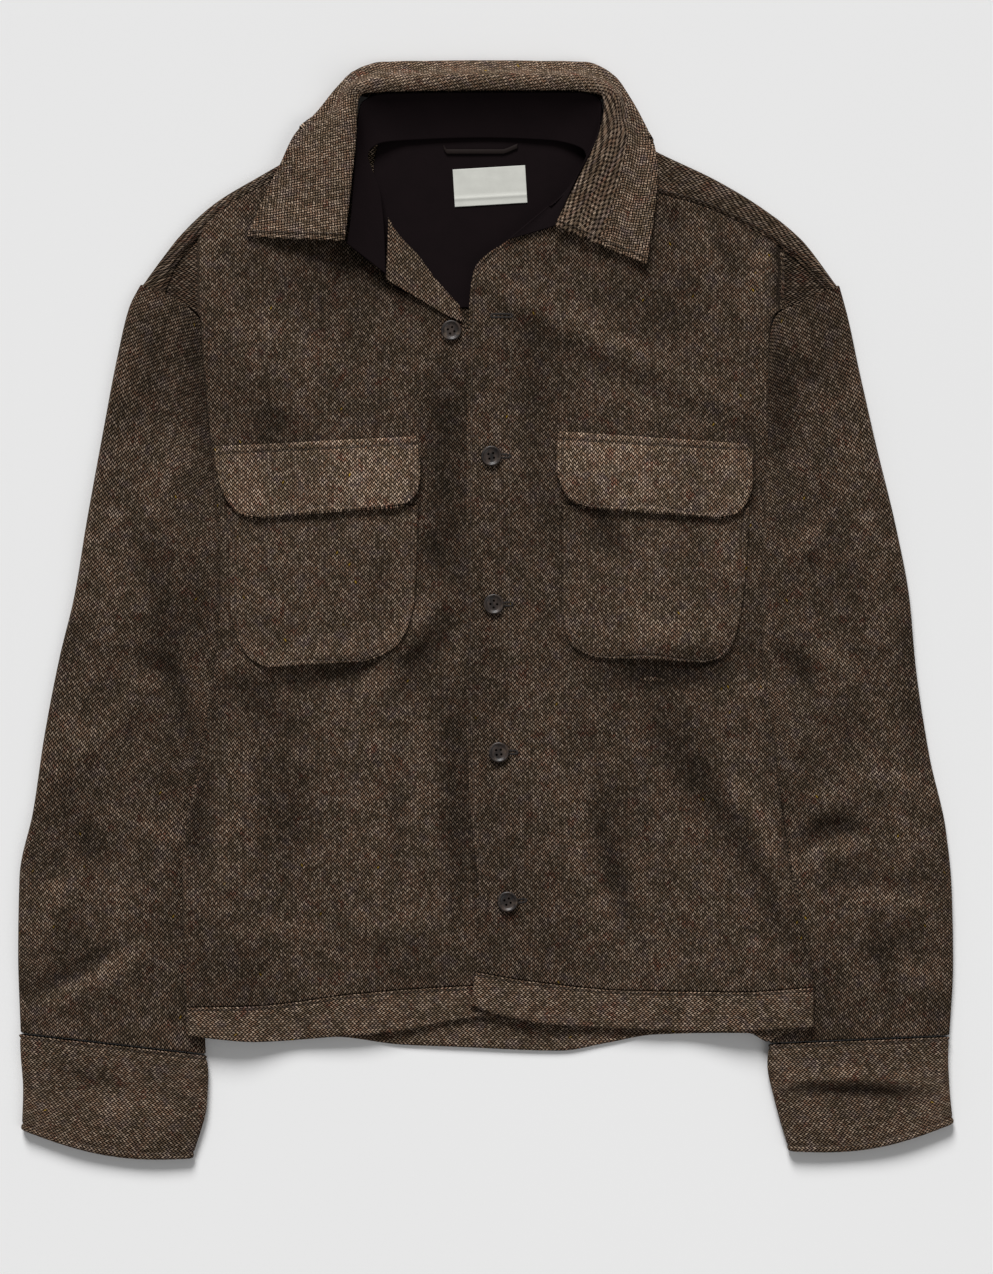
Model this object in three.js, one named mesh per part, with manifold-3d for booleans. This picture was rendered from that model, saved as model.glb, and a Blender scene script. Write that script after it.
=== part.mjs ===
// A wool shacket laid flat on its back, buttoned but for the neck. Millimetres, +Z up.
// +Y points to the collar and +X to the wearer's left. The origin is on the floor, mid chest.
import * as THREE from "three";
import { mergeVertices } from "three/addons/utils/BufferGeometryUtils.js";
import Module from "manifold-3d";

const wasm = await Module();
wasm.setup();

// Driving dimensions
const CLOTH = 2.3;
const DOUBLED_CLOTH = 3;
const COLLAR_CLOTH = 2.8;
const STAND_CLOTH = 2;
const LINING_CLOTH = 1;
const POCKET_CLOTH = 1.8;
const LABEL_CLOTH = 0.6;
const SEAM_GAP = 0.3;
const SIDE_SEAM_GAP = 0.5;
const LAID_HEIGHT = 7.6;
const HEM_HEIGHT = 8;
const PLACKET_RAISE = 3.6;
const PLACKET_WIDTH = 44;
const PLACKET_EASE = 46;
const SLEEVE_LIFT = 8.3;
const LIFT_EASE = 64;
const LAY_GAP = 0.5;

const BUTTON_RADIUS = 8.2;
const BUTTON_HEIGHT = 3.2;
const BUTTON_HOLE_RADIUS = 0.9;
const BUTTON_HOLE_REACH = 1.9;
const BUTTON_SIDES = 16;
const HOLE_SIDES = 6;

const CLOTH_COLOR = 0x54473a;
const DARK_COLOR = 0x1d1412;
const LABEL_COLOR = 0xcac9c2;
const HORN_COLOR = 0x2f2722;

// Rails: named edges of the laid garment. t runs from 0 to 1 along the edge.
function rail(columns, rows) {
  const at = columns.indexOf("t");
  const axes = columns.filter((name) => name !== "t");
  return (t) => {
    let k = 0;
    while (k < rows.length - 2 && t > rows[k + 1][at]) k += 1;
    const span = rows[k + 1][at] - rows[k][at];
    const s = THREE.MathUtils.clamp((t - rows[k][at]) / span, 0, 1);
    const value = {};
    for (const axis of axes) {
      const column = columns.indexOf(axis);
      value[axis] = hermite(rows, k, s, column, at);
    }
    return value;
  };
}

// A cubic through the rows, with slopes limited so that it never overshoots them.
function hermite(rows, k, s, column, at) {
  const secant = (i) => (rows[i + 1][column] - rows[i][column]) / (rows[i + 1][at] - rows[i][at]);
  const slope = (i) => {
    if (i === 0) return secant(0);
    if (i === rows.length - 1) return secant(rows.length - 2);
    const before = secant(i - 1);
    const after = secant(i);
    if (before * after <= 0) return 0;
    return (2 * before * after) / (before + after);
  };
  const span = rows[k + 1][at] - rows[k][at];
  const s2 = s * s;
  const s3 = s2 * s;
  return (
    (2 * s3 - 3 * s2 + 1) * rows[k][column] +
    (s3 - 2 * s2 + s) * span * slope(k) +
    (3 * s2 - 2 * s3) * rows[k + 1][column] +
    (s3 - s2) * span * slope(k + 1)
  );
}

const YOKE_SEAM_RIGHT = rail(["t", "x", "y"], [
  [0, -96, 370],
  [0.25, -140, 358],
  [0.44, -175, 342],
  [0.66, -210, 321],
  [0.82, -231, 297],
  [0.92, -247, 277],
  [1, -256, 254],
]);
const YOKE_SEAM_LEFT = rail(["t", "x", "y"], [
  [0, 86, 358],
  [0.27, 138, 335],
  [0.46, 172, 325],
  [0.66, 208, 309],
  [0.85, 244, 286],
  [1, 274, 257],
]);
const SHOULDER_RIGHT = rail(["t", "x", "y"], [
  [0, -92, 402],
  [0.25, -136, 374],
  [0.44, -178, 350],
  [0.66, -216, 327],
  [0.82, -243, 302],
  [0.92, -258, 283],
  [1, -274, 261],
]);
const SHOULDER_LEFT = rail(["t", "x", "y"], [
  [0, 92, 392],
  [0.27, 142, 366],
  [0.46, 184, 346],
  [0.66, 222, 323],
  [0.85, 252, 299],
  [1, 282, 260],
]);

// The front's inner edge: neck seam, the turned facing's foot, then the hidden underlap edge.
const INNER_EDGE_RIGHT = rail(["t", "x", "y"], [
  [0, -96, 370],
  [0.06, -85, 332],
  [0.11, -80, 292],
  [0.14, -79, 266],
  [0.17, -52, 251],
  [0.2, -20, 231],
  [0.24, 20, 214],
  [0.3, 26, 165],
  [1, 28, -296],
]);
const OUTER_EDGE_RIGHT = rail(["t", "x", "y"], [
  [0, -256, 254],
  [0.05, -242, 247],
  [0.1, -227, 233],
  [0.13, -226, 214],
  [0.18, -223, 178],
  [0.3, -216, 98],
  [0.41, -212, 22],
  [0.56, -218, -54],
  [0.68, -228, -126],
  [0.75, -238, -166],
  [0.86, -241, -230],
  [1, -238, -314],
]);
const INNER_EDGE_LEFT = rail(["t", "x", "y"], [
  [0, 86, 358],
  [0.06, 66, 335],
  [0.1, 46, 319],
  [0.14, 15, 295],
  [0.17, 1, 286],
  [0.19, -8, 276],
  [0.22, -12, 257],
  [0.28, -14, 218],
  [0.42, -15, 110],
  [0.63, -16, -40],
  [0.78, -13, -140],
  [0.93, -5, -240],
  [1, -7, -286],
]);
const OUTER_EDGE_LEFT = rail(["t", "x", "y"], [
  [0, 274, 257],
  [0.05, 255, 248],
  [0.1, 232, 238],
  [0.13, 228, 226],
  [0.18, 227, 192],
  [0.3, 226, 106],
  [0.42, 222, 24],
  [0.5, 222, -30],
  [0.6, 230, -80],
  [0.7, 235, -146],
  [0.79, 243, -202],
  [0.9, 258, -262],
  [1, 262, -298],
]);

const HEM_SEAM_RIGHT = rail(["t", "x", "y"], [
  [0, 28, -296],
  [0.2, -24, -298],
  [0.5, -106, -304],
  [0.8, -180, -313],
  [1, -238, -314],
]);
const HEM_FOOT_RIGHT = rail(["t", "x", "y"], [
  [0, 28, -319],
  [0.2, -24, -325],
  [0.36, -68, -334],
  [0.56, -116, -338],
  [0.8, -180, -342],
  [1, -237, -337],
]);
const HEM_SEAM_LEFT = rail(["t", "x", "y"], [
  [0, -7, -286],
  [0.15, 33, -293],
  [0.45, 113, -301],
  [0.75, 193, -302],
  [1, 262, -298],
]);
const HEM_FOOT_LEFT = rail(["t", "x", "y"], [
  [0, -12, -313],
  [0.12, 12, -321],
  [0.3, 60, -329],
  [0.5, 113, -332],
  [0.75, 185, -334],
  [1, 262, -330],
]);
const HEM_SEAM_BACK = rail(["t", "x", "y"], [
  [0, -238, -305.2],
  [0.25, -110, -314],
  [0.5, 12, -318],
  [0.75, 136, -312],
  [1, 262, -305],
]);
const HEM_FOOT_BACK = rail(["t", "x", "y"], [
  [0, -237, -336],
  [0.24, -116, -339],
  [0.34, -68, -345],
  [0.44, -20, -347],
  [0.6, 60, -350],
  [0.68, 96, -344],
  [0.76, 136, -337],
  [0.9, 210, -335],
  [0.94, 226, -342],
  [0.97, 240, -335],
  [1, 262, -332],
]);

// Back seam of the yoke on the underside, and the back panel's outline below it
const BACK_YOKE_Y = 250;
const BACK_ROWS = {
  columns: ["t", "y", "left", "right"],
  rows: [
    [0, 249.7, -248.8, 255.6],
    [0.03, 240, -234, 238],
    [0.06, 230, -224.6, 227],
    [0.09, 214, -224.6, 227],
    [0.13, 190, -224.2, 227],
    [0.25, 122, -218, 226],
    [0.42, 24, -212, 222],
    [0.55, -54, -218, 226],
    [0.66, -118, -227, 233],
    [0.75, -166, -238, 238],
    [0.87, -235, -241, 251],
    [1, -305, -238, 262],
  ],
};

// A row for each sleeve section: the outer and inner folds, with the seam's bow along the sleeve
const SLEEVE_COLUMNS = ["t", "outerX", "outerY", "innerX", "innerY", "height"];
const SLEEVE_RIGHT_ROWS = [
  [0, -275, 259.4, -228, 230.8, 7.6],
  [0.06, -284, 243, -227.4, 206, 8],
  [0.14, -293, 208, -225, 168, 8.6],
  [0.25, -306, 140, -219.4, 116, 9],
  [0.38, -318, 74, -214.8, 62, 9.2],
  [0.5, -328, 14, -214.2, 6, 9],
  [0.6, -340, -36, -218, -44, 8.8],
  [0.7, -352, -98, -222.6, -98, 8.4],
  [0.78, -361, -158, -229, -142, 8],
  [0.86, -372, -212, -230, -206, 7.8],
  [0.93, -373, -272, -227, -272, 7.8],
  [1, -371, -335, -223, -352, 7.8],
];
const SLEEVE_LEFT_ROWS = [
  [0, 283, 258.6, 230.4, 225, 7.6],
  [0.06, 290, 234, 229, 204, 8],
  [0.14, 298, 198, 228.4, 168, 8.6],
  [0.25, 312, 136, 227.2, 116, 9],
  [0.38, 328, 70, 224.8, 62, 9.2],
  [0.5, 339, 12, 223.2, 6, 9],
  [0.6, 344, -42, 225.4, -46, 8.8],
  [0.7, 355, -114, 233.6, -106, 8.4],
  [0.78, 368, -172, 238, -160, 8],
  [0.86, 373, -224, 242, -220, 7.8],
  [0.93, 374, -280, 239, -284, 7.8],
  [1, 371, -337, 227, -343, 7.8],
];
const CUFF_RIGHT_ROWS = [
  [0, -371.6, -336, -223, -353, 8.6],
  [0.2, -371, -352, -221, -366, 9],
  [0.55, -369, -380, -222, -392, 9],
  [1, -370, -413, -234, -436, 8.4],
];
const CUFF_LEFT_ROWS = [
  [0, 370.6, -338, 227, -344, 8.6],
  [0.2, 370, -354, 225.5, -360, 9],
  [0.55, 371, -378, 231, -388, 9],
  [1, 374, -408, 243, -430, 8.4],
];
// The seams where the sleeves are set in, from the body's side fold to the shoulder's tip
const ARMHOLE_RIGHT = rail(["t", "x", "y"], [
  [0, -228, 230.8],
  [0.4, -243, 245],
  [0.68, -256.4, 252.4],
  [1, -275, 259.4],
]);
const ARMHOLE_LEFT = rail(["t", "x", "y"], [
  [0, 230.4, 225],
  [0.2, 235, 236],
  [0.5, 256, 246.6],
  [0.85, 274.6, 255.6],
  [1, 283, 258.6],
]);
const ARMHOLE_REACH = 0.14;
const CUFF_BOW = 9;

// The largest folds: a soft ridge (height over 0) or trough along a bent line
const FOLD_COLUMNS = ["fromX", "fromY", "viaX", "viaY", "toX", "toY", "height", "width"];
const FOLDS_RIGHT = [
  [-226, 300, -219, 262, -217, 214, 3.6, 9],
  [-20, 8, -62, -40, -82, -86, -2, 13],
  [-32, 14, -78, -34, -98, -84, 2.2, 12],
  [-206, -60, -130, -58, -50, -34, -1.8, 9],
  [-192, -66, -168, -82, -148, -102, -1.6, 11],
  [-70, -88, -66, -150, -68, -224, 1.8, 18],
  [-190, -118, -198, -190, -206, -226, 1.8, 15],
  [-110, -252, -76, -256, -40, -248, 1.6, 13],
];
const FOLDS_LEFT = [
  [224, 290, 219, 258, 221, 216, 3.4, 9],
  [4, 246, 96, 190, 206, 148, -2, 12],
  [14, 258, 102, 206, 200, 166, 2.4, 14],
  [98, -52, 150, -58, 198, -52, -1.8, 9],
  [124, -62, 158, -100, 176, -142, -2.2, 11],
  [176, -130, 212, -190, 246, -272, -2, 12],
  [192, -128, 226, -184, 250, -250, 2.6, 12],
  [90, -146, 92, -206, 128, -266, -1.8, 13],
  [72, -140, 74, -206, 104, -270, 2, 15],
];
const FOLDS_SLEEVE_RIGHT = [
  [-250, 124, -256, 96, -264, 64, 2.4, 11],
  [-280, -32, -262, -42, -244, -50, -1.6, 10],
  [-276, -58, -300, -108, -340, -136, 2.4, 13],
  [-322, -206, -342, -234, -360, -262, 2.2, 13],
  [-362, -316, -318, -308, -278, -268, 2.6, 12],
];
const FOLDS_SLEEVE_LEFT = [
  [276, 66, 262, 56, 252, 44, 1.8, 12],
  [262, -18, 278, -36, 288, -52, 2, 12],
  [256, -206, 286, -180, 312, -192, 2.6, 12],
  [302, -134, 330, -138, 346, -146, 1.8, 13],
  [294, -226, 330, -232, 358, -236, 2, 13],
];
const FOLDS_CUFF_LEFT = [[244, -371, 290, -368, 352, -376, 1.4, 7]];

function fromTable(columns, rows) {
  return rows.map((row) => Object.fromEntries(columns.map((name, i) => [name, row[i]])));
}

const FOLD_STEPS = 8;
function foldHeight(folds) {
  const lines = fromTable(FOLD_COLUMNS, folds).map((fold) => ({
    ...fold,
    points: Array.from({ length: FOLD_STEPS + 1 }, (_, i) => {
      const t = i / FOLD_STEPS;
      const bend = (a, b, c) => (1 - t) * (1 - t) * a + 2 * t * (1 - t) * b + t * t * c;
      return [bend(fold.fromX, fold.viaX, fold.toX), bend(fold.fromY, fold.viaY, fold.toY)];
    }),
  }));
  return (x, y) => {
    let sum = 0;
    for (const line of lines) {
      let nearest = Infinity;
      let along = 0;
      for (let i = 0; i < FOLD_STEPS; i += 1) {
        const [ax, ay] = line.points[i];
        const [bx, by] = line.points[i + 1];
        const length2 = (bx - ax) ** 2 + (by - ay) ** 2;
        const s = THREE.MathUtils.clamp(((x - ax) * (bx - ax) + (y - ay) * (by - ay)) / length2, 0, 1);
        const gap2 = (ax + s * (bx - ax) - x) ** 2 + (ay + s * (by - ay) - y) ** 2;
        if (gap2 < nearest) {
          nearest = gap2;
          along = (i + s) / FOLD_STEPS;
        }
      }
      const taper = Math.sqrt(Math.max(0, Math.sin(Math.PI * THREE.MathUtils.clamp(along, 0.04, 0.96))));
      sum += line.height * taper * Math.exp(-nearest / (line.width * line.width));
    }
    return sum;
  };
}

const foldsRight = foldHeight(FOLDS_RIGHT);
const foldsLeft = foldHeight(FOLDS_LEFT);

// The sides of the body ride up over the sleeves' inner folds near the hem.
const LIFT_COLUMNS = ["t", "side"];
const liftSideRight = rail(LIFT_COLUMNS, [
  [-360, -208],
  [-272, -216],
  [-206, -220],
  [-142, -220],
  [-98, -218],
]);
const liftSideLeft = rail(LIFT_COLUMNS, [
  [-350, 210],
  [-284, 224],
  [-220, 230],
  [-160, 232],
]);
const LIFT_RIGHT_FULL_Y = -118;
const LIFT_LEFT_FULL_Y = -176;
const LIFT_RAMP = 96;
const { smoothstep } = THREE.MathUtils;

function bodyLift(x, y) {
  const right =
    (1 - smoothstep(y, LIFT_RIGHT_FULL_Y, LIFT_RIGHT_FULL_Y + LIFT_RAMP)) *
    (1 - smoothstep(x, liftSideRight(y).side, liftSideRight(y).side + LIFT_EASE));
  const left =
    (1 - smoothstep(y, LIFT_LEFT_FULL_Y, LIFT_LEFT_FULL_Y + LIFT_RAMP)) *
    smoothstep(x, liftSideLeft(y).side - LIFT_EASE, liftSideLeft(y).side);
  return SLEEVE_LIFT * (right + left);
}

// Distance from the overlap's edge, taken at the same height
const frontEdgeX = rail(["t", "x"], [
  [-330, -12],
  [-240, -5],
  [-140, -13],
  [-40, -16],
  [110, -15],
  [257, -12],
  [276, -8],
  [295, 15],
]);
function placketRaise(x, y) {
  const inward = x - frontEdgeX(y).x;
  return PLACKET_RAISE * (1 - smoothstep(inward, PLACKET_WIDTH, PLACKET_WIDTH + PLACKET_EASE));
}

const topRight = (x, y) => LAID_HEIGHT + bodyLift(x, y) + foldsRight(x, y);
const topLeft = (x, y) => LAID_HEIGHT + bodyLift(x, y) + foldsLeft(x, y) + placketRaise(x, y);

// Grids of points, a list of rows, made into closed walls
const grid = (rowCount, columnCount, point) =>
  Array.from({ length: rowCount + 1 }, (_, i) =>
    Array.from({ length: columnCount + 1 }, (_, j) => point(i / rowCount, j / columnCount, i, j)),
  );

function gridNormals(points, ring) {
  const last = points[0].length - 1;
  const column = (j) => (ring ? (j + last + 1) % (last + 1) : THREE.MathUtils.clamp(j, 0, last));
  return points.map((row, i) =>
    row.map((_, j) => {
      const above = points[Math.max(0, i - 1)][j];
      const below = points[Math.min(points.length - 1, i + 1)][j];
      const along = new THREE.Vector3().subVectors(below, above);
      const across = new THREE.Vector3().subVectors(row[column(j + 1)], row[column(j - 1)]);
      return across.cross(along).normalize();
    }),
  );
}

// 1 when the normals already point out of the garment, -1 when they point in
function facing(outer, normals, ring, down, probe) {
  const middle = Math.floor(outer.length / 2);
  if (!ring) {
    const z = normals[middle][probe ?? Math.floor(outer[0].length / 2)].z;
    return z > 0 === down ? -1 : 1;
  }
  const centre = new THREE.Vector3();
  for (const p of outer[middle]) centre.addScaledVector(p, 1 / outer[middle].length);
  const sum = outer[middle].reduce((total, p, j) => total + normals[middle][j].dot(p.clone().sub(centre)), 0);
  return Math.sign(sum);
}

// The wall between an outer grid and the same grid moved in by its thickness. A sheet's outer
// side looks up, or down where asked, as judged at the middle or at the column given as probe.
// level(i, j) says where the wall ends in a seam that faces straight up or down.
function wall(outer, thickness, { ring = false, down = false, probe, level = () => false } = {}) {
  const normals = gridNormals(outer, ring);
  normals.forEach((row, i) =>
    row.forEach((normal, j) => {
      if (level(i, j)) normal.setZ(0).normalize();
    }),
  );
  const inward = -facing(outer, normals, ring, down, probe) * thickness;
  const inside = outer.map((row, i) => row.map((p, j) => p.clone().addScaledVector(normals[i][j], inward)));
  const positions = [];
  const quad = (a, b, c, d) => {
    for (const p of [a, b, c, a, c, d]) positions.push(p.x, p.y, p.z);
  };
  const rows = outer.length;
  const columns = outer[0].length;
  const spans = ring ? columns : columns - 1;
  for (let i = 0; i < rows - 1; i += 1) {
    for (let j = 0; j < spans; j += 1) {
      const k = (j + 1) % columns;
      quad(outer[i][j], outer[i][k], outer[i + 1][k], outer[i + 1][j]);
      quad(inside[i][j], inside[i + 1][j], inside[i + 1][k], inside[i][k]);
    }
  }
  for (let j = 0; j < spans; j += 1) {
    const k = (j + 1) % columns;
    quad(outer[0][k], outer[0][j], inside[0][j], inside[0][k]);
    quad(outer[rows - 1][j], outer[rows - 1][k], inside[rows - 1][k], inside[rows - 1][j]);
  }
  if (!ring) {
    for (let i = 0; i < rows - 1; i += 1) {
      const end = columns - 1;
      quad(outer[i][0], outer[i + 1][0], inside[i + 1][0], inside[i][0]);
      quad(outer[i + 1][end], outer[i][end], inside[i][end], inside[i + 1][end]);
    }
  }
  const geometry = new THREE.BufferGeometry();
  geometry.setAttribute("position", new THREE.Float32BufferAttribute(positions, 3));
  return outward(mergeVertices(geometry, 1e-4));
}

// A closed geometry with its faces turned out
function outward(geometry) {
  const position = geometry.getAttribute("position");
  const index = geometry.index.array;
  const [a, b, c] = [new THREE.Vector3(), new THREE.Vector3(), new THREE.Vector3()];
  let volume = 0;
  for (let i = 0; i < index.length; i += 3) {
    a.fromBufferAttribute(position, index[i]);
    b.fromBufferAttribute(position, index[i + 1]);
    c.fromBufferAttribute(position, index[i + 2]);
    volume += a.dot(b.cross(c));
  }
  if (volume < 0) {
    for (let i = 0; i < index.length; i += 3) [index[i + 1], index[i + 2]] = [index[i + 2], index[i + 1]];
  }
  geometry.computeVertexNormals();
  return geometry;
}

function solidOf(geometry) {
  const bare = geometry.clone();
  for (const name of Object.keys(bare.attributes)) if (name !== "position") bare.deleteAttribute(name);
  const merged = mergeVertices(bare, 1e-4);
  return new wasm.Manifold(
    new wasm.Mesh({
      numProp: 3,
      vertProperties: new Float32Array(merged.getAttribute("position").array),
      triVerts: new Uint32Array(merged.index.array),
    }),
  );
}

function geometryOf(solid) {
  const mesh = solid.getMesh();
  const geometry = new THREE.BufferGeometry();
  geometry.setAttribute("position", new THREE.BufferAttribute(new Float32Array(mesh.vertProperties), 3));
  geometry.setIndex(new THREE.BufferAttribute(new Uint32Array(mesh.triVerts), 1));
  geometry.computeVertexNormals();
  return geometry;
}

const garment = new THREE.Group();
function piece(name, geometry, color, roughness = 0.95) {
  const material = new THREE.MeshStandardMaterial({ color, roughness, metalness: 0 });
  const mesh = new THREE.Mesh(geometry, material);
  mesh.name = name;
  garment.add(mesh);
  return mesh;
}

// Plan position inside four rails: inner and outer down the sides, head and foot across
function within({ inner, outer, head, foot }) {
  return (u, v) => {
    const a = inner(v);
    const b = outer(v);
    const h = head(u);
    const f = foot(u);
    const corners = [inner(0), outer(0), inner(1), outer(1)];
    const blend = (axis) =>
      (1 - u) * a[axis] +
      u * b[axis] +
      (1 - v) * (h[axis] - (1 - u) * corners[0][axis] - u * corners[1][axis]) +
      v * (f[axis] - (1 - u) * corners[2][axis] - u * corners[3][axis]);
    return { x: blend("x"), y: blend("y") };
  };
}

// Front panels: flat columns from the inner edge, then a quarter roll down to the side seam
const FRONT_ROWS = 28;
const FLAT_COLUMNS = 13;
const ROLL_COLUMNS = 3;
const ROLL_FROM_ROW = 0.1;

// How far across a panel its column j stands, when the roll begins at a share of its width
function columnShare(share, j) {
  if (j <= FLAT_COLUMNS) return (share * j) / FLAT_COLUMNS;
  return share + ((1 - share) * (j - FLAT_COLUMNS)) / ROLL_COLUMNS;
}

function rolledPanel({ place, top, rows, roll, rise, rolledFrom = -1, seams }) {
  const columns = FLAT_COLUMNS + ROLL_COLUMNS;
  const flatShare = (v) => {
    const a = place(0, v);
    const b = place(1, v);
    return 1 - roll / Math.hypot(b.x - a.x, b.y - a.y);
  };
  return grid(rows, columns, (v, _, i, j) => {
    const share = flatShare(v);
    const spread = j <= FLAT_COLUMNS ? (share * j) / FLAT_COLUMNS : share;
    const p = place(spread, v);
    let z = top(p.x, p.y);
    if (j > FLAT_COLUMNS) {
      const turn = (j - FLAT_COLUMNS) / ROLL_COLUMNS;
      const angle = (turn * Math.PI) / 2;
      const rolled = v > rolledFrom;
      const reach = rolled ? Math.sin(angle) : turn;
      const edge = place(1, v);
      p.x += (edge.x - p.x) * reach;
      p.y += (edge.y - p.y) * reach;
      if (rolled) z = THREE.MathUtils.lerp(z, rise(edge.x, edge.y) + SIDE_SEAM_GAP / 2, 1 - Math.cos(angle));
    }
    const shift = seams(columnShare(share, j), i);
    return new THREE.Vector3(p.x + shift.x, p.y + shift.y, z);
  });
}

const sideSeamZ = (x, y) => bodyLift(x, y) + LAID_HEIGHT / 2;

// Half a seam's gap, away from the yoke at the head and from the hem band at the foot
function frontSeamShift(seam, shoulder, u, i) {
  if (i === FRONT_ROWS) return { x: 0, y: SEAM_GAP / 2 };
  if (i > 0) return { x: 0, y: 0 };
  const a = seam(u);
  const b = shoulder(u);
  const scale = -SEAM_GAP / 2 / Math.hypot(b.x - a.x, b.y - a.y);
  return { x: (b.x - a.x) * scale, y: (b.y - a.y) * scale };
}

function frontPanel(rails, top) {
  return wall(
    rolledPanel({
      place: within(rails),
      top,
      rows: FRONT_ROWS,
      roll: LAID_HEIGHT / 2,
      rise: sideSeamZ,
      rolledFrom: ROLL_FROM_ROW,
      seams: (u, i) => frontSeamShift(rails.head, rails.shoulder, u, i),
    }),
    CLOTH,
    { level: (i, j) => j === FLAT_COLUMNS + ROLL_COLUMNS && i / FRONT_ROWS > ROLL_FROM_ROW },
  );
}

const frontRailsRight = {
  inner: INNER_EDGE_RIGHT,
  outer: OUTER_EDGE_RIGHT,
  head: YOKE_SEAM_RIGHT,
  foot: HEM_SEAM_RIGHT,
  shoulder: SHOULDER_RIGHT,
};
const frontRailsLeft = {
  inner: INNER_EDGE_LEFT,
  outer: OUTER_EDGE_LEFT,
  head: YOKE_SEAM_LEFT,
  foot: HEM_SEAM_LEFT,
  shoulder: SHOULDER_LEFT,
};
piece("front_right", frontPanel(frontRailsRight, topRight), CLOTH_COLOR);
piece("front_left", frontPanel(frontRailsLeft, topLeft), CLOTH_COLOR);

// Front hem bands, rolled down to the side like the fronts
const HEM_ROWS = 3;
function hemBand(seam, foot, top) {
  const place = (u, v) => {
    const a = seam(u);
    const b = foot(u);
    return { x: a.x + v * (b.x - a.x), y: a.y + v * (b.y - a.y) };
  };
  return wall(
    rolledPanel({
      place,
      top: (x, y) => top(x, y) + HEM_HEIGHT - LAID_HEIGHT,
      rows: HEM_ROWS,
      roll: HEM_HEIGHT / 2,
      rise: sideSeamZ,
      seams: (u, i) => ({ x: 0, y: i === 0 ? -SEAM_GAP / 2 : 0 }),
    }),
    DOUBLED_CLOTH,
    { level: (i, j) => j === FLAT_COLUMNS + ROLL_COLUMNS },
  );
}
piece("hem_front_right", hemBand(HEM_SEAM_RIGHT, HEM_FOOT_RIGHT, topRight), CLOTH_COLOR);
piece("hem_front_left", hemBand(HEM_SEAM_LEFT, HEM_FOOT_LEFT, topLeft), CLOTH_COLOR);

// Back panel and its hem: flat on the floor, rolled up to the side seams
const BACK_ROW_COUNT = 18;
const BACK_COLUMNS = 14;
const BACK_ROLL_COLUMNS = 2;
const backEnd = (j) => j === 0 || j === BACK_COLUMNS + 2 * BACK_ROLL_COLUMNS;

function backSheet(place, rows, roll, rolledFrom, seams) {
  const columns = BACK_COLUMNS + 2 * BACK_ROLL_COLUMNS;
  return grid(rows, columns, (v, _, i, j) => {
    const left = place(0, v);
    const right = place(1, v);
    const rollShare = roll / (right.x - left.x);
    const k = THREE.MathUtils.clamp(j - BACK_ROLL_COLUMNS, 0, BACK_COLUMNS);
    const spread = 0.5 - 0.5 * Math.cos((Math.PI * k) / BACK_COLUMNS);
    const u = rollShare + (1 - 2 * rollShare) * spread;
    const p = place(u, v);
    let z = bodyLift(p.x, p.y);
    const over = Math.max(BACK_ROLL_COLUMNS - j, j - BACK_ROLL_COLUMNS - BACK_COLUMNS, 0);
    if (over > 0) {
      const edge = j < BACK_ROLL_COLUMNS ? left : right;
      const angle = ((over / BACK_ROLL_COLUMNS) * Math.PI) / 2;
      const rolled = v > rolledFrom;
      const reach = rolled ? Math.sin(angle) : over / BACK_ROLL_COLUMNS;
      p.x += (edge.x - p.x) * reach;
      p.y += (edge.y - p.y) * reach;
      if (rolled) z = THREE.MathUtils.lerp(z, sideSeamZ(edge.x, edge.y) - SIDE_SEAM_GAP / 2, 1 - Math.cos(angle));
    }
    return new THREE.Vector3(p.x, p.y + seams(i), z);
  });
}

const backOutline = rail(BACK_ROWS.columns, BACK_ROWS.rows);
const backPlace = within({
  inner: (v) => ({ x: backOutline(v).left, y: backOutline(v).y }),
  outer: (v) => ({ x: backOutline(v).right, y: backOutline(v).y }),
  head: (u) => ({ x: THREE.MathUtils.lerp(backOutline(0).left, backOutline(0).right, u), y: backOutline(0).y }),
  foot: HEM_SEAM_BACK,
});
const ARMHOLE_END_V = 0.06;
piece(
  "back_panel",
  wall(
    backSheet(backPlace, BACK_ROW_COUNT, LAID_HEIGHT / 2, ARMHOLE_END_V, (i) =>
      i === BACK_ROW_COUNT ? SIDE_SEAM_GAP / 2 : 0,
    ),
    CLOTH,
    { down: true, level: (i, j) => backEnd(j) && i / BACK_ROW_COUNT > ARMHOLE_END_V },
  ),
  CLOTH_COLOR,
);
const backHemPlace = (u, v) => {
  const a = HEM_SEAM_BACK(u);
  const b = HEM_FOOT_BACK(u);
  return { x: a.x + v * (b.x - a.x), y: a.y + v * (b.y - a.y) };
};
piece(
  "hem_back",
  wall(
    backSheet(backHemPlace, HEM_ROWS, HEM_HEIGHT / 2, -1, (i) => (i === 0 ? -SIDE_SEAM_GAP / 2 : 0)),
    DOUBLED_CLOTH,
    { down: true, level: (i, j) => backEnd(j) },
  ),
  CLOTH_COLOR,
);

// Yoke: a strip over each shoulder, joined by the flat back part between them
const SHOULDER_ROLL_STEPS = 4;
const YOKE_FRONT_STEPS = 2;
const YOKE_BACK_STEPS = 2;
const YOKE_COLUMNS = FLAT_COLUMNS + ROLL_COLUMNS;

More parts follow.
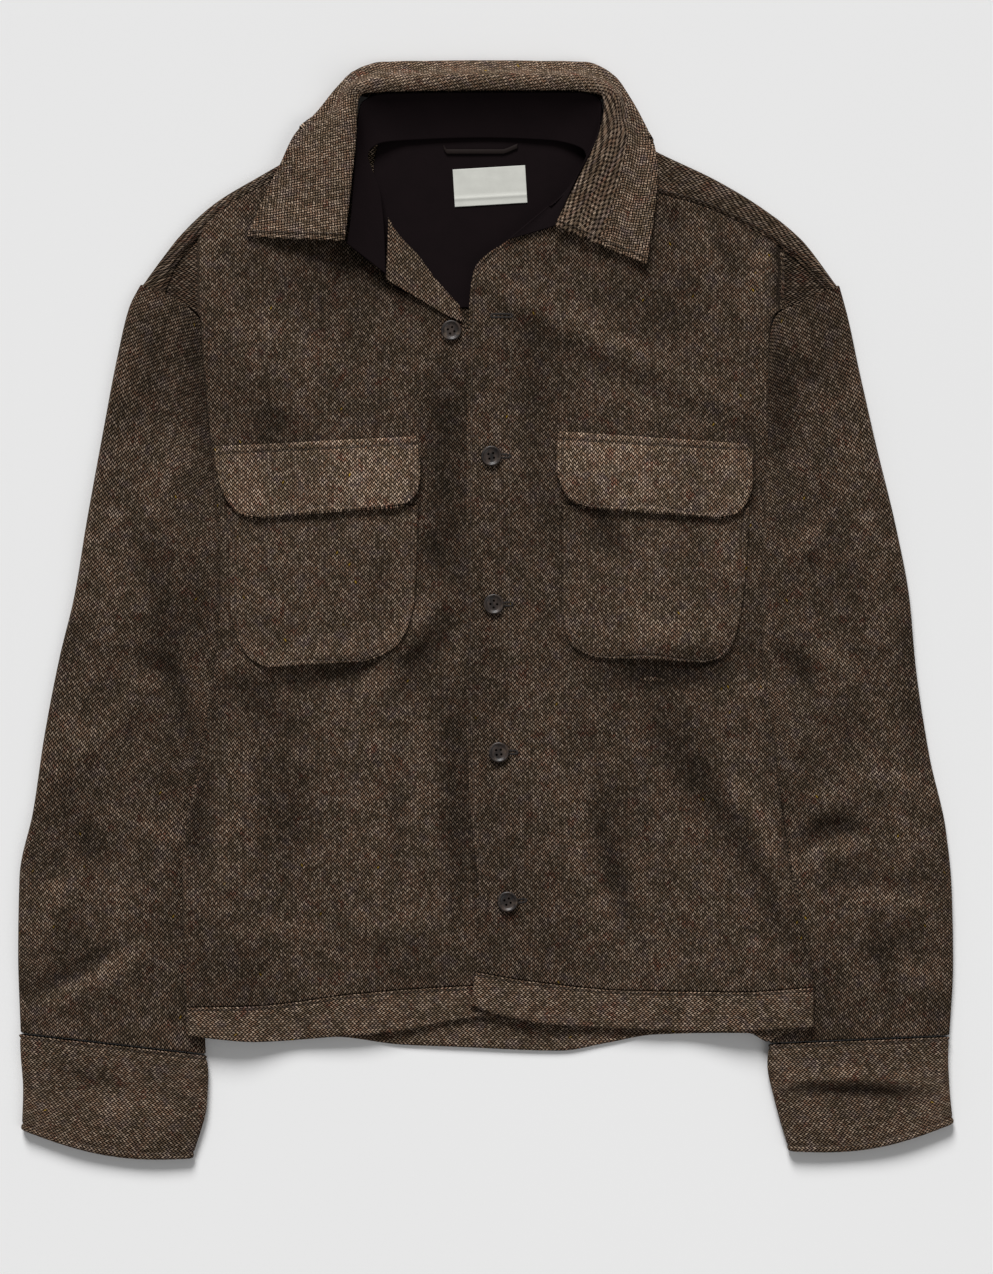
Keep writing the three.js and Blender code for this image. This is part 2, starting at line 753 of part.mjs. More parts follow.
function yokeSection(seam, fold, back, top) {
  const roll = LAID_HEIGHT / 2;
  const out = new THREE.Vector2(fold.x - seam.x, fold.y - seam.y).normalize();
  const centre = { x: fold.x - out.x * roll, y: fold.y - out.y * roll };
  const points = [];
  for (let i = 0; i <= YOKE_FRONT_STEPS; i += 1) {
    const s = i / YOKE_FRONT_STEPS;
    const x = seam.x + out.x * SEAM_GAP / 2 + s * (centre.x - seam.x - out.x * SEAM_GAP / 2);
    const y = seam.y + out.y * SEAM_GAP / 2 + s * (centre.y - seam.y - out.y * SEAM_GAP / 2);
    points.push(new THREE.Vector3(x, y, THREE.MathUtils.lerp(top, LAID_HEIGHT, s)));
  }
  for (let i = 1; i <= SHOULDER_ROLL_STEPS; i += 1) {
    const angle = (i / SHOULDER_ROLL_STEPS) * Math.PI;
    const reach = roll * Math.sin(angle);
    points.push(
      new THREE.Vector3(centre.x + out.x * reach, centre.y + out.y * reach, roll + roll * Math.cos(angle)),
    );
  }
  for (let i = 1; i <= YOKE_BACK_STEPS; i += 1) {
    const s = i / YOKE_BACK_STEPS;
    points.push(new THREE.Vector3(centre.x + s * (back.x - centre.x), centre.y + s * (back.y - centre.y), 0));
  }
  return points;
}

function yokeStrip(seamRail, foldRail, neckX, armX, topHeight) {
  const rows = Array.from({ length: YOKE_COLUMNS + 1 }, (_, i) => {
    const u = yokeColumn(seamRail, i / YOKE_COLUMNS);
    const seam = seamRail(u);
    const back = { x: THREE.MathUtils.lerp(neckX, armX, u), y: BACK_YOKE_Y };
    return yokeSection(seam, foldRail(u), back, topHeight(seam.x, seam.y));
  });
  return wall(rows, CLOTH, { probe: 0 });
}

// The yoke's stations stand at the front panel's columns, so both edges of the seam match.
function yokeColumn(seamRail, t) {
  const a = seamRail(0);
  const b = seamRail(1);
  const share = 1 - LAID_HEIGHT / 2 / Math.hypot(b.x - a.x, b.y - a.y);
  return columnShare(share, t * YOKE_COLUMNS);
}

const NECK_SEAM = rail(["t", "x", "y"], [
  [0, -112, 372],
  [0.12, -84, 376],
  [0.3, -44, 379],
  [0.5, -2, 380],
  [0.7, 46, 379],
  [0.88, 80, 372],
  [1, 110, 366],
]);
const YOKE_MIDDLE_COLUMNS = 10;
const YOKE_MIDDLE_RIGHT = -120;
const YOKE_MIDDLE_LEFT = 116;
const yokeMiddle = wall(
  grid(1, YOKE_MIDDLE_COLUMNS, (v, u) => {
    const neck = NECK_SEAM(u);
    const x = THREE.MathUtils.lerp(neck.x, THREE.MathUtils.lerp(YOKE_MIDDLE_RIGHT, YOKE_MIDDLE_LEFT, u), v);
    return new THREE.Vector3(x, THREE.MathUtils.lerp(neck.y, BACK_YOKE_Y, v), 0);
  }),
  CLOTH,
  { down: true },
);
const yokeRight = yokeStrip(YOKE_SEAM_RIGHT, SHOULDER_RIGHT, -104, -250.4, topRight);
const yokeLeft = yokeStrip(YOKE_SEAM_LEFT, SHOULDER_LEFT, 100, 261.2, topLeft);
piece(
  "yoke",
  geometryOf(solidOf(yokeMiddle).add(solidOf(yokeRight)).add(solidOf(yokeLeft))),
  CLOTH_COLOR,
);

// Sleeves and cuffs: flattened tubes, their rings run round from the inner fold's foot
const TUBE_BOTTOM = 3;
const TUBE_SIDE = 3;
const TUBE_TOP = 11;

// One ring of a tube. shift(s) moves the point at share s of the way from the inner fold.
function tubeRing(row, shift, folds) {
  const radius = row.height / 2;
  const inner = new THREE.Vector2(row.innerX, row.innerY);
  const outer = new THREE.Vector2(row.outerX, row.outerY);
  const length = inner.distanceTo(outer);
  const across = outer.clone().sub(inner).divideScalar(length);
  const flat = length - 2 * radius;
  const points = [];
  const add = (distance, z, onTop) => {
    const moved = shift(distance / length);
    const x = inner.x + across.x * distance + moved.x;
    const y = inner.y + across.y * distance + moved.y;
    points.push(new THREE.Vector3(x, y, onTop ? z + folds(x, y) : z));
  };
  for (let i = 0; i < TUBE_BOTTOM; i += 1) add(radius + (flat * i) / TUBE_BOTTOM, 0, false);
  for (let i = 0; i < TUBE_SIDE; i += 1) {
    const angle = (i / TUBE_SIDE) * Math.PI;
    add(radius + flat + radius * Math.sin(angle), radius * (1 - Math.cos(angle)), false);
  }
  for (let i = 0; i < TUBE_TOP; i += 1) add(radius + flat * (1 - i / TUBE_TOP), row.height, i > 0);
  for (let i = 0; i < TUBE_SIDE; i += 1) {
    const angle = (i / TUBE_SIDE) * Math.PI;
    add(radius - radius * Math.sin(angle), radius * (1 + Math.cos(angle)), false);
  }
  return points;
}

function tube(rows, count, thickness, shiftAt, folds) {
  const section = rail(SLEEVE_COLUMNS, rows);
  const rings = Array.from({ length: count + 1 }, (_, i) => {
    const t = i / count;
    return tubeRing(section(t), (s) => shiftAt(t, s), folds);
  });
  return wall(rings, thickness, { ring: true });
}

const SLEEVE_ROWS = 21;
const CUFF_ROWS = 5;
// The head of a sleeve follows the armhole seam, and straightens as it leaves it.
const armholeShift = (seam) => (t, s) => {
  const [inner, outer, p] = [seam(0), seam(1), seam(s)];
  const share = Math.max(0, 1 - t / ARMHOLE_REACH);
  return {
    x: share * (p.x - THREE.MathUtils.lerp(inner.x, outer.x, s)),
    y: share * (p.y - THREE.MathUtils.lerp(inner.y, outer.y, s)),
  };
};
const cuffShift = (t, s) => ({ x: 0, y: -CUFF_BOW * t * t * Math.sin(Math.PI * s) });
const plain = () => 0;
const SLEEVES = [
  ["sleeve_right", SLEEVE_RIGHT_ROWS, SLEEVE_ROWS, CLOTH, armholeShift(ARMHOLE_RIGHT), foldHeight(FOLDS_SLEEVE_RIGHT)],
  ["sleeve_left", SLEEVE_LEFT_ROWS, SLEEVE_ROWS, CLOTH, armholeShift(ARMHOLE_LEFT), foldHeight(FOLDS_SLEEVE_LEFT)],
  ["cuff_right", CUFF_RIGHT_ROWS, CUFF_ROWS, DOUBLED_CLOTH, cuffShift, plain],
  ["cuff_left", CUFF_LEFT_ROWS, CUFF_ROWS, DOUBLED_CLOTH, cuffShift, foldHeight(FOLDS_CUFF_LEFT)],
];
for (const [name, ...shape] of SLEEVES) piece(name, tube(...shape), CLOTH_COLOR);

// Inner yoke: the dark lining seen through the neck, lying on the yoke and back panel
const LINING_ROWS = 4;
const LINING_COLUMNS = 5;
const liningEdges = rail(["t", "y", "left", "right"], [
  [0, 376, -78, 76],
  [0.2, 352, -84, 80],
  [0.45, 320, -82, 62],
  [0.7, 286, -78, 24],
  [1, 244, -60, 2],
]);
piece(
  "yoke_lining",
  wall(
    grid(LINING_ROWS, LINING_COLUMNS, (v, u) => {
      const row = liningEdges(v);
      const x = THREE.MathUtils.lerp(row.left, row.right, u);
      return new THREE.Vector3(x, row.y, CLOTH + SEAM_GAP + LINING_CLOTH);
    }),
    LINING_CLOTH,
  ),
  DARK_COLOR,
  0.8,
);

// Facing of the right front, turned out where the neck falls open
const FACING_STEPS = 6;
const facingFoot = rail(["t", "x", "y"], [
  [0, -79, 266],
  [0.35, -53, 250.5],
  [0.7, -30, 236.8],
  [1, -17.5, 231.6],
]);
const facingHead = rail(["t", "x", "y"], [
  [0, -77, 316],
  [0.2, -70, 304],
  [0.45, -54, 287],
  [0.7, -40, 268],
  [1, -20, 246],
]);
const FACING_HIGH = LAID_HEIGHT + SEAM_GAP + POCKET_CLOTH;
const FACING_LOW = CLOTH + LINING_CLOTH + 2 * SEAM_GAP + POCKET_CLOTH;
piece(
  "facing_right",
  wall(
    grid(3, FACING_STEPS, (v, u) => {
      const head = facingHead(u);
      const foot = facingFoot(u);
      const x = THREE.MathUtils.lerp(head.x, foot.x, v);
      const y = THREE.MathUtils.lerp(head.y, foot.y, v);
      return new THREE.Vector3(x, y, THREE.MathUtils.lerp(FACING_HIGH, FACING_LOW, (1 - v) * (1 - v)));
    }),
    POCKET_CLOTH,
  ),
  CLOTH_COLOR,
);

// Collar stand: stations round the neck, its foot on the neck seam and its head under the roll
const STAND_COLUMNS = ["t", "footX", "footY", "footZ", "headX", "headY", "headZ"];
const STAND_STATIONS = [
  [0, -79, 270, 12.5, -110, 294, 15],
  [0.08, -80, 300, 12, -107, 312, 16],
  [0.16, -83, 334, 11.4, -104, 350, 17],
  [0.26, -93, 364, 11, -101, 386, 18],
  [0.34, -84, 374, 10.6, -98, 405, 18],
  [0.4, -62, 377, 7, -80, 413, 17.4],
  [0.52, -2, 379, 6.2, -2, 414, 17],
  [0.64, 52, 377, 7, 74, 414, 17.4],
  [0.72, 79, 368, 10.6, 92, 406, 18],
  [0.78, 82, 354, 11, 90, 386, 18],
  [0.86, 68, 338, 11.6, 79, 360, 17],
  [0.93, 46, 320, 14, 67, 333, 16.4],
  [1, 18, 297, 14.8, 56, 308, 16],
];
const STAND_ROWS = 3;
const COLLAR_STATIONS = 36;
const standAt = rail(STAND_COLUMNS, STAND_STATIONS);
piece(
  "collar_stand",
  wall(
    grid(STAND_ROWS, COLLAR_STATIONS, (v, u) => {
      const row = standAt(u);
      const sag = 1.5 * Math.sin(Math.PI * v);
      return new THREE.Vector3(
        THREE.MathUtils.lerp(row.headX, row.footX, v),
        THREE.MathUtils.lerp(row.headY, row.footY, v),
        THREE.MathUtils.lerp(row.headZ, row.footZ, v) - sag,
      );
    }),
    STAND_CLOTH,
  ),
  DARK_COLOR,
  0.8,
);

// Collar fall: a section at each station, from the roll over the crest to the free edge.
// Behind the neck the fall turns under and lies below the stand.
const FALL_COLUMNS = ["t", "rollX", "rollY", "rollZ", "edgeX", "edgeY", "edgeZ", "under"];
const FALL_STATIONS = [
  [0, -111, 296, 19, -190, 300, 13, 0],
  [0.06, -108, 320, 20, -182, 318, 13, 0],
  [0.12, -105, 346, 21, -174, 336, 12.6, 0],
  [0.18, -102, 374, 22, -163, 359, 12, 0],
  [0.24, -101, 394, 22, -152, 382, 10, 0],
  [0.3, -100, 406, 22, -134, 400, 8, 4],
  [0.35, -97, 412, 22, -118, 420, 7.4, 14],
  [0.39, -88, 413, 21.4, -104, 433, 7, 26],
  [0.43, -68, 414, 21, -80, 440, 7, 36],
  [0.5, -2, 415, 20.6, -2, 441, 7, 42],
  [0.57, 64, 415, 21, 78, 440, 7, 36],
  [0.61, 84, 413, 21.4, 102, 430, 7, 26],
  [0.65, 93, 410, 22, 115, 413, 7.4, 14],
  [0.7, 94, 400, 22, 126, 393, 8, 4],
  [0.76, 91, 384, 22, 136, 371, 10, 0],
  [0.82, 84, 366, 22, 138, 353, 12, 0],
  [0.88, 76, 350, 21, 137, 334, 12.6, 0],
  [0.94, 66, 330, 20, 134, 310, 13, 0],
  [1, 55, 308, 19, 129, 278, 13.4, 0],
];
const FALL_STEPS = 9;
const CREST_RISE = 2.4;
const CREST_OUT = 7;
const fallAt = rail(FALL_COLUMNS, FALL_STATIONS);

function fallSection(row) {
  const roll = new THREE.Vector3(row.rollX, row.rollY, row.rollZ);
  const edge = new THREE.Vector3(row.edgeX, row.edgeY, row.edgeZ);
  const out = new THREE.Vector3(row.edgeX - row.rollX, row.edgeY - row.rollY, 0);
  const reach = out.length();
  out.normalize();
  const point = (distance, z) => new THREE.Vector3(roll.x + out.x * distance, roll.y + out.y * distance, z);
  const points = [roll, point(CREST_OUT, row.rollZ + CREST_RISE)];
  const turned = smoothstep(row.under, 0, 14);
  const fallTo = (s) => THREE.MathUtils.lerp(row.rollZ + CREST_RISE, row.edgeZ, smoothstep(s, 0.05, 0.8));
  if (reach > 3.4 * CREST_OUT) {
    points.push(point(reach * 0.4, fallTo(0.4 - 0.2 * turned)));
    points.push(point(reach * 0.7, fallTo(0.7 - 0.2 * turned)));
  }
  points.push(edge);
  if (row.under > 0) {
    const foot = Math.max(row.under, 1);
    points.push(point(reach - 1.2, edge.z * 0.42));
    points.push(point(reach - 4, 0));
    points.push(point(reach - 4 - foot, 0));
  }
  return points;
}

function spacedSection(points, count) {
  const lengths = [0];
  for (let i = 1; i < points.length; i += 1) lengths.push(lengths[i - 1] + points[i].distanceTo(points[i - 1]));
  const total = lengths[lengths.length - 1];
  return Array.from({ length: count + 1 }, (_, i) => {
    const target = (total * i) / count;
    let k = 1;
    while (k < points.length - 1 && lengths[k] < target) k += 1;
    const s = (target - lengths[k - 1]) / (lengths[k] - lengths[k - 1]);
    return points[k - 1].clone().lerp(points[k], s);
  });
}
piece(
  "collar_fall",
  wall(
    Array.from({ length: COLLAR_STATIONS + 1 }, (_, i) =>
      spacedSection(fallSection(fallAt(i / COLLAR_STATIONS)), FALL_STEPS),
    ),
    COLLAR_CLOTH,
    { probe: 1 },
  ),
  CLOTH_COLOR,
);

// Patch pockets and flaps, made from the front's own height and moved out
const PATCH_COLUMNS = ["t", "leftX", "leftY", "rightX", "rightY"];
const POCKET_RIGHT_ROWS = [
  [0, -206, 84, -53, 86],
  [0.3, -204, 42, -54, 44],
  [0.6, -203, 4, -56, 10],
  [0.75, -200, -14, -60, -8],
  [0.88, -193, -30, -68, -24],
  [0.96, -184, -39, -80, -33],
  [1, -174, -44, -96, -39],
];
const POCKET_LEFT_ROWS = [
  [0, 62, 86, 211, 84],
  [0.3, 62, 42, 209, 42],
  [0.6, 62, 4, 205, 4],
  [0.75, 64, -14, 202, -12],
  [0.88, 69, -26, 196, -28],
  [0.96, 78, -32, 188, -36],
  [1, 92, -36, 174, -40],
];
const FLAP_RIGHT_ROWS = [
  [0, -215, 133, -55, 141],
  [0.12, -215.5, 126, -53, 133],
  [0.45, -212, 104, -51, 112],
  [0.72, -205, 88, -53, 98],
  [0.9, -196, 79, -61, 88],
  [1, -180, 76, -76, 85],
];
const FLAP_LEFT_ROWS = [
  [0, 59, 145, 209, 135],
  [0.12, 57.5, 138, 214, 127],
  [0.45, 56.5, 117, 214, 104],
  [0.72, 61, 100, 209, 88],
  [0.9, 68, 90, 201, 79],
  [1, 82, 84, 186, 76],
];
function layOn(rows, top, thickness, rowCount, columnCount) {
  const section = rail(PATCH_COLUMNS, rows);
  return wall(
    grid(rowCount, columnCount, (v, u) => {
      const row = section(v);
      const x = THREE.MathUtils.lerp(row.leftX, row.rightX, u);
      const y = THREE.MathUtils.lerp(row.leftY, row.rightY, u);
      return new THREE.Vector3(x, y, top(x, y) + thickness);
    }),
    thickness,
  );
}
const POCKET_GRID = [9, 10];
const FLAP_GRID = [7, 12];
const onFront = (top) => (x, y) => top(x, y) + LAY_GAP;
const onPocket = (top) => (x, y) => top(x, y) + LAY_GAP + POCKET_CLOTH + LAY_GAP;
piece("pocket_right", layOn(POCKET_RIGHT_ROWS, onFront(topRight), POCKET_CLOTH, ...POCKET_GRID), CLOTH_COLOR);
piece("pocket_left", layOn(POCKET_LEFT_ROWS, onFront(topLeft), POCKET_CLOTH, ...POCKET_GRID), CLOTH_COLOR);
piece("flap_right", layOn(FLAP_RIGHT_ROWS, onPocket(topRight), CLOTH, ...FLAP_GRID), CLOTH_COLOR);
piece("flap_left", layOn(FLAP_LEFT_ROWS, onPocket(topLeft), CLOTH, ...FLAP_GRID), CLOTH_COLOR);

// Buttons: a dished disc with a raised rim and four holes
function buttonGeometry() {
  const profile = [
    [0, 0],
    [0.72, 0],
    [1, 0.45],
    [1, 0.75],
    [0.9, 1],
    [0.76, 0.9],
    [0.66, 0.62],
    [0, 0.58],
  ].map(([r, z]) => new THREE.Vector2(r * BUTTON_RADIUS, z * BUTTON_HEIGHT));
  const disc = new THREE.LatheGeometry(profile, BUTTON_SIDES).rotateX(Math.PI / 2);
  let solid = solidOf(outward(mergeVertices(stripped(disc), 1e-4)));
  for (const [sx, sy] of [[1, 1], [-1, 1], [-1, -1], [1, -1]]) {
    const hole = new THREE.CylinderGeometry(BUTTON_HOLE_RADIUS, BUTTON_HOLE_RADIUS, 3 * BUTTON_HEIGHT, HOLE_SIDES);
    hole.rotateX(Math.PI / 2).translate(sx * BUTTON_HOLE_REACH, sy * BUTTON_HOLE_REACH, 0);
    solid = solid.subtract(solidOf(outward(mergeVertices(stripped(hole), 1e-4))));
  }
  return geometryOf(solid);
}
function stripped(geometry) {
  geometry.deleteAttribute("normal");
  geometry.deleteAttribute("uv");
  return geometry;
}
const BUTTONS = [
  { name: "button_1", x: -27, y: 225.4, tilt: 0, on: topRight },
  { name: "button_2", x: 5, y: 125, tilt: 0, on: topLeft },
  { name: "button_3", x: 7, y: 7, tilt: 0, on: topLeft },
  { name: "button_4", x: 11, y: -111, tilt: 0, on: topLeft },
  { name: "button_5", x: 18, y: -230, tilt: 0, on: topLeft },
];
const buttonShape = buttonGeometry();
for (const button of BUTTONS) {
  const mesh = piece(button.name, buttonShape, HORN_COLOR, 0.45);
  mesh.position.set(button.x, button.y, button.on(button.x, button.y) + LAY_GAP);
}

// Hanger loop and bare label in the neck
const LABEL_CENTRE = new THREE.Vector2(4, 341);
const LABEL_SIZE = new THREE.Vector2(58, 30);
const LABEL_TURN = 0.06;
const label = piece("neck_label", new THREE.BoxGeometry(LABEL_SIZE.x, LABEL_SIZE.y, LABEL_CLOTH), LABEL_COLOR);
label.position.set(LABEL_CENTRE.x, LABEL_CENTRE.y, CLOTH + LINING_CLOTH + 2 * SEAM_GAP + LABEL_CLOTH / 2);
label.rotation.z = LABEL_TURN;

const LOOP_WIDTH = 4;
const LOOP_THICKNESS = 1.2;
const loopLine = rail(["t", "x", "y"], [
  [0, -33, 374],
  [0.1, -30, 370.5],
  [0.9, 14, 370.5],
  [1, 26, 375],
]);
piece(
  "hanger_loop",
  wall(
    grid(1, 8, (v, u) => {
      const p = loopLine(u);
      return new THREE.Vector3(p.x, p.y - v * LOOP_WIDTH, CLOTH + LINING_CLOTH + 2 * SEAM_GAP + LOOP_THICKNESS);
    }),
    LOOP_THICKNESS,
  ),
  DARK_COLOR,
  0.7,
);

export default garment;
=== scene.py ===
"""A wool shacket laid flat on its back, in Blender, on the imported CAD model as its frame.

Lengths in the tables are millimetres in the CAD frame: +Y points to the collar, +X to the
wearer's left and +Z up from the floor. A mesh is made in millimetres and scaled to metres last.
"""
import math

import bmesh
import bpy
import numpy as np
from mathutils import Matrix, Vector


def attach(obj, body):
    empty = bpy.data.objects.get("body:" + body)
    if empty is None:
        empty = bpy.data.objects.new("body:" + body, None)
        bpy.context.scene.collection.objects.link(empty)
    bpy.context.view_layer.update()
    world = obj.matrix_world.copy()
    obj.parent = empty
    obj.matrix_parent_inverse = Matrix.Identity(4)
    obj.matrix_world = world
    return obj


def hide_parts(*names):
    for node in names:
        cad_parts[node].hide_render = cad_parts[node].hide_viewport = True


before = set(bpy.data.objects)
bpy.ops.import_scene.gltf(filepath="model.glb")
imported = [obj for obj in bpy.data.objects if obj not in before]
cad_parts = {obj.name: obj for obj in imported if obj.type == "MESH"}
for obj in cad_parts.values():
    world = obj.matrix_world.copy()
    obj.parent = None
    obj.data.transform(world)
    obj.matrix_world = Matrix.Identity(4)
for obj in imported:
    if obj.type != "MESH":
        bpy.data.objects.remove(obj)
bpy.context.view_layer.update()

bl_info = {
    "name": "Laid shacket",
    "version": (1, 0, 0),
    "blender": (4, 5, 0),
    "location": "View3D > Sidebar > Shacket",
    "description": "Builds the cloth, sewing and stage of a shacket laid flat",
    "category": "Object",
}

MM = 0.001

# Thicknesses and heights of the CAD model, which the cloth here keeps
CLOTH = 2.3
DOUBLED_CLOTH = 3.0
COLLAR_CLOTH = 2.8
STAND_CLOTH = 2.0
LINING_CLOTH = 1.0
POCKET_CLOTH = 1.8
LABEL_CLOTH = 0.6
SEAM_GAP = 0.3
LAID_HEIGHT = 7.6
HEM_HEIGHT = 8.0
PLACKET_RAISE = 3.6
PLACKET_WIDTH = 44.0
PLACKET_EASE = 46.0
SLEEVE_LIFT = 8.3
LIFT_EASE = 64.0
LIFT_RIGHT_FULL_Y = -118.0
LIFT_LEFT_FULL_Y = -176.0
LIFT_RAMP = 96.0
LAY_GAP = 0.5
BACK_YOKE_Y = 250.0
ARMHOLE_REACH = 0.14
CUFF_BOW = 9.0

# Edges of the laid garment, rows of (t, x, y)
YOKE_SEAM_RIGHT = (
    (0, -96, 370), (0.25, -140, 358), (0.44, -175, 342), (0.66, -210, 321), (0.82, -231, 297),
    (0.92, -247, 277), (1, -256, 254),
)
YOKE_SEAM_LEFT = (
    (0, 86, 358), (0.27, 138, 335), (0.46, 172, 325), (0.66, 208, 309), (0.85, 244, 286), (1, 274, 257),
)
SHOULDER_RIGHT = (
    (0, -92, 402), (0.25, -136, 374), (0.44, -178, 350), (0.66, -216, 327), (0.82, -243, 302),
    (0.92, -258, 283), (1, -274, 261),
)
SHOULDER_LEFT = (
    (0, 92, 392), (0.27, 142, 366), (0.46, 184, 346), (0.66, 222, 323), (0.85, 252, 299), (1, 282, 260),
)
INNER_EDGE_RIGHT = (
    (0, -96, 370), (0.06, -85, 332), (0.11, -80, 292), (0.14, -79, 266), (0.17, -52, 251), (0.2, -20, 231),
    (0.24, 20, 214), (0.3, 26, 165), (1, 28, -296),
)
OUTER_EDGE_RIGHT = (
    (0, -256, 254), (0.05, -242, 247), (0.1, -227, 233), (0.13, -226, 214), (0.18, -223, 178),
    (0.3, -216, 98), (0.41, -212, 22), (0.56, -218, -54), (0.68, -228, -126), (0.75, -238, -166),
    (0.86, -241, -230), (1, -238, -314),
)
INNER_EDGE_LEFT = (
    (0, 86, 358), (0.06, 66, 335), (0.1, 46, 319), (0.14, 15, 295), (0.17, 1, 286), (0.19, -8, 276),
    (0.22, -12, 257), (0.28, -14, 218), (0.42, -15, 110), (0.63, -16, -40), (0.78, -13, -140),
    (0.93, -5, -240), (1, -7, -286),
)
OUTER_EDGE_LEFT = (
    (0, 274, 257), (0.05, 255, 248), (0.1, 232, 238), (0.13, 228, 226), (0.18, 227, 192), (0.3, 226, 106),
    (0.42, 222, 24), (0.5, 222, -30), (0.6, 230, -80), (0.7, 235, -146), (0.79, 243, -202),
    (0.9, 258, -262), (1, 262, -298),
)
HEM_SEAM_RIGHT = (
    (0, 28, -296), (0.2, -24, -298), (0.5, -106, -304), (0.8, -180, -313), (1, -238, -314),
)
HEM_FOOT_RIGHT = (
    (0, 28, -319), (0.2, -24, -325), (0.36, -68, -334), (0.56, -116, -338), (0.8, -180, -342),
    (1, -237, -337),
)
HEM_SEAM_LEFT = (
    (0, -7, -286), (0.15, 33, -293), (0.45, 113, -301), (0.75, 193, -302), (1, 262, -298),
)
HEM_FOOT_LEFT = (
    (0, -12, -313), (0.12, 12, -321), (0.3, 60, -329), (0.5, 113, -332), (0.75, 185, -334), (1, 262, -330),
)
HEM_SEAM_BACK = (
    (0, -238, -305.2), (0.25, -110, -314), (0.5, 12, -318), (0.75, 136, -312), (1, 262, -305),
)
HEM_FOOT_BACK = (
    (0, -237, -336), (0.24, -116, -339), (0.34, -68, -345), (0.44, -20, -347), (0.6, 60, -350),
    (0.68, 96, -344), (0.76, 136, -337), (0.9, 210, -335), (0.94, 226, -342), (0.97, 240, -335),
    (1, 262, -332),
)
BACK_ROWS = (
    (0, 249.7, -248.8, 255.6), (0.03, 240, -234, 238), (0.06, 230, -224.6, 227), (0.09, 214, -224.6, 227),
    (0.13, 190, -224.2, 227), (0.25, 122, -218, 226), (0.42, 24, -212, 222), (0.55, -54, -218, 226),
    (0.66, -118, -227, 233), (0.75, -166, -238, 238), (0.87, -235, -241, 251), (1, -305, -238, 262),
)
SLEEVE_RIGHT_ROWS = (
    (0, -275, 259.4, -228, 230.8, 7.6), (0.06, -284, 243, -227.4, 206, 8),
    (0.14, -293, 208, -225, 168, 8.6), (0.25, -306, 140, -219.4, 116, 9), (0.38, -318, 74, -214.8, 62, 9.2),
    (0.5, -328, 14, -214.2, 6, 9), (0.6, -340, -36, -218, -44, 8.8), (0.7, -352, -98, -222.6, -98, 8.4),
    (0.78, -361, -158, -229, -142, 8), (0.86, -372, -212, -230, -206, 7.8),
    (0.93, -373, -272, -227, -272, 7.8), (1, -371, -335, -223, -352, 7.8),
)
SLEEVE_LEFT_ROWS = (
    (0, 283, 258.6, 230.4, 225, 7.6), (0.06, 290, 234, 229, 204, 8), (0.14, 298, 198, 228.4, 168, 8.6),
    (0.25, 312, 136, 227.2, 116, 9), (0.38, 328, 70, 224.8, 62, 9.2), (0.5, 339, 12, 223.2, 6, 9),
    (0.6, 344, -42, 225.4, -46, 8.8), (0.7, 355, -114, 233.6, -106, 8.4), (0.78, 368, -172, 238, -160, 8),
    (0.86, 373, -224, 242, -220, 7.8), (0.93, 374, -280, 239, -284, 7.8), (1, 371, -337, 227, -343, 7.8),
)
CUFF_RIGHT_ROWS = (
    (0, -371.6, -336, -223, -353, 8.6), (0.2, -371, -352, -221, -366, 9), (0.55, -369, -380, -222, -392, 9),
    (1, -370, -413, -234, -436, 8.4),
)
CUFF_LEFT_ROWS = (
    (0, 370.6, -338, 227, -344, 8.6), (0.2, 370, -354, 225.5, -360, 9), (0.55, 371, -378, 231, -388, 9),
    (1, 374, -408, 243, -430, 8.4),
)
ARMHOLE_RIGHT = (
    (0, -228, 230.8), (0.4, -243, 245), (0.68, -256.4, 252.4), (1, -275, 259.4),
)
ARMHOLE_LEFT = (
    (0, 230.4, 225), (0.2, 235, 236), (0.5, 256, 246.6), (0.85, 274.6, 255.6), (1, 283, 258.6),
)
FOLDS_RIGHT = (
    (-226, 300, -219, 262, -217, 214, 3.6, 9), (-20, 8, -62, -40, -82, -86, -2, 13),
    (-32, 14, -78, -34, -98, -84, 2.2, 12), (-206, -60, -130, -58, -50, -34, -1.8, 9),
    (-192, -66, -168, -82, -148, -102, -1.6, 11), (-70, -88, -66, -150, -68, -224, 1.8, 18),
    (-190, -118, -198, -190, -206, -226, 1.8, 15), (-110, -252, -76, -256, -40, -248, 1.6, 13),
)
FOLDS_LEFT = (
    (224, 290, 219, 258, 221, 216, 3.4, 9), (4, 246, 96, 190, 206, 148, -2, 12),
    (14, 258, 102, 206, 200, 166, 2.4, 14), (98, -52, 150, -58, 198, -52, -1.8, 9),
    (124, -66, 158, -104, 172, -150, -1.6, 17), (176, -130, 212, -190, 246, -272, -2, 12),
    (192, -128, 226, -184, 250, -250, 2.6, 12), (90, -146, 92, -206, 128, -266, -1.8, 13),
    (72, -140, 74, -206, 104, -270, 2, 15),
)
FOLDS_SLEEVE_RIGHT = (
    (-250, 124, -256, 96, -264, 64, 2.4, 11), (-280, -32, -262, -42, -244, -50, -1.6, 10),
    (-276, -58, -300, -108, -340, -136, 2.4, 13), (-322, -206, -342, -234, -360, -262, 2.2, 13),
    (-362, -316, -318, -308, -278, -268, 2.6, 12),
)
FOLDS_SLEEVE_LEFT = (
    (276, 66, 262, 56, 252, 44, 1.8, 12), (262, -18, 278, -36, 288, -52, 2, 12),
    (256, -206, 286, -180, 312, -192, 2.6, 12), (302, -134, 330, -138, 346, -146, 1.8, 13),
    (294, -226, 330, -232, 358, -236, 2, 13),
)
FOLDS_CUFF_LEFT = (
    (244, -371, 290, -368, 352, -376, 1.4, 7), (244, -382, 290, -379, 354, -387, -2.2, 6),
)
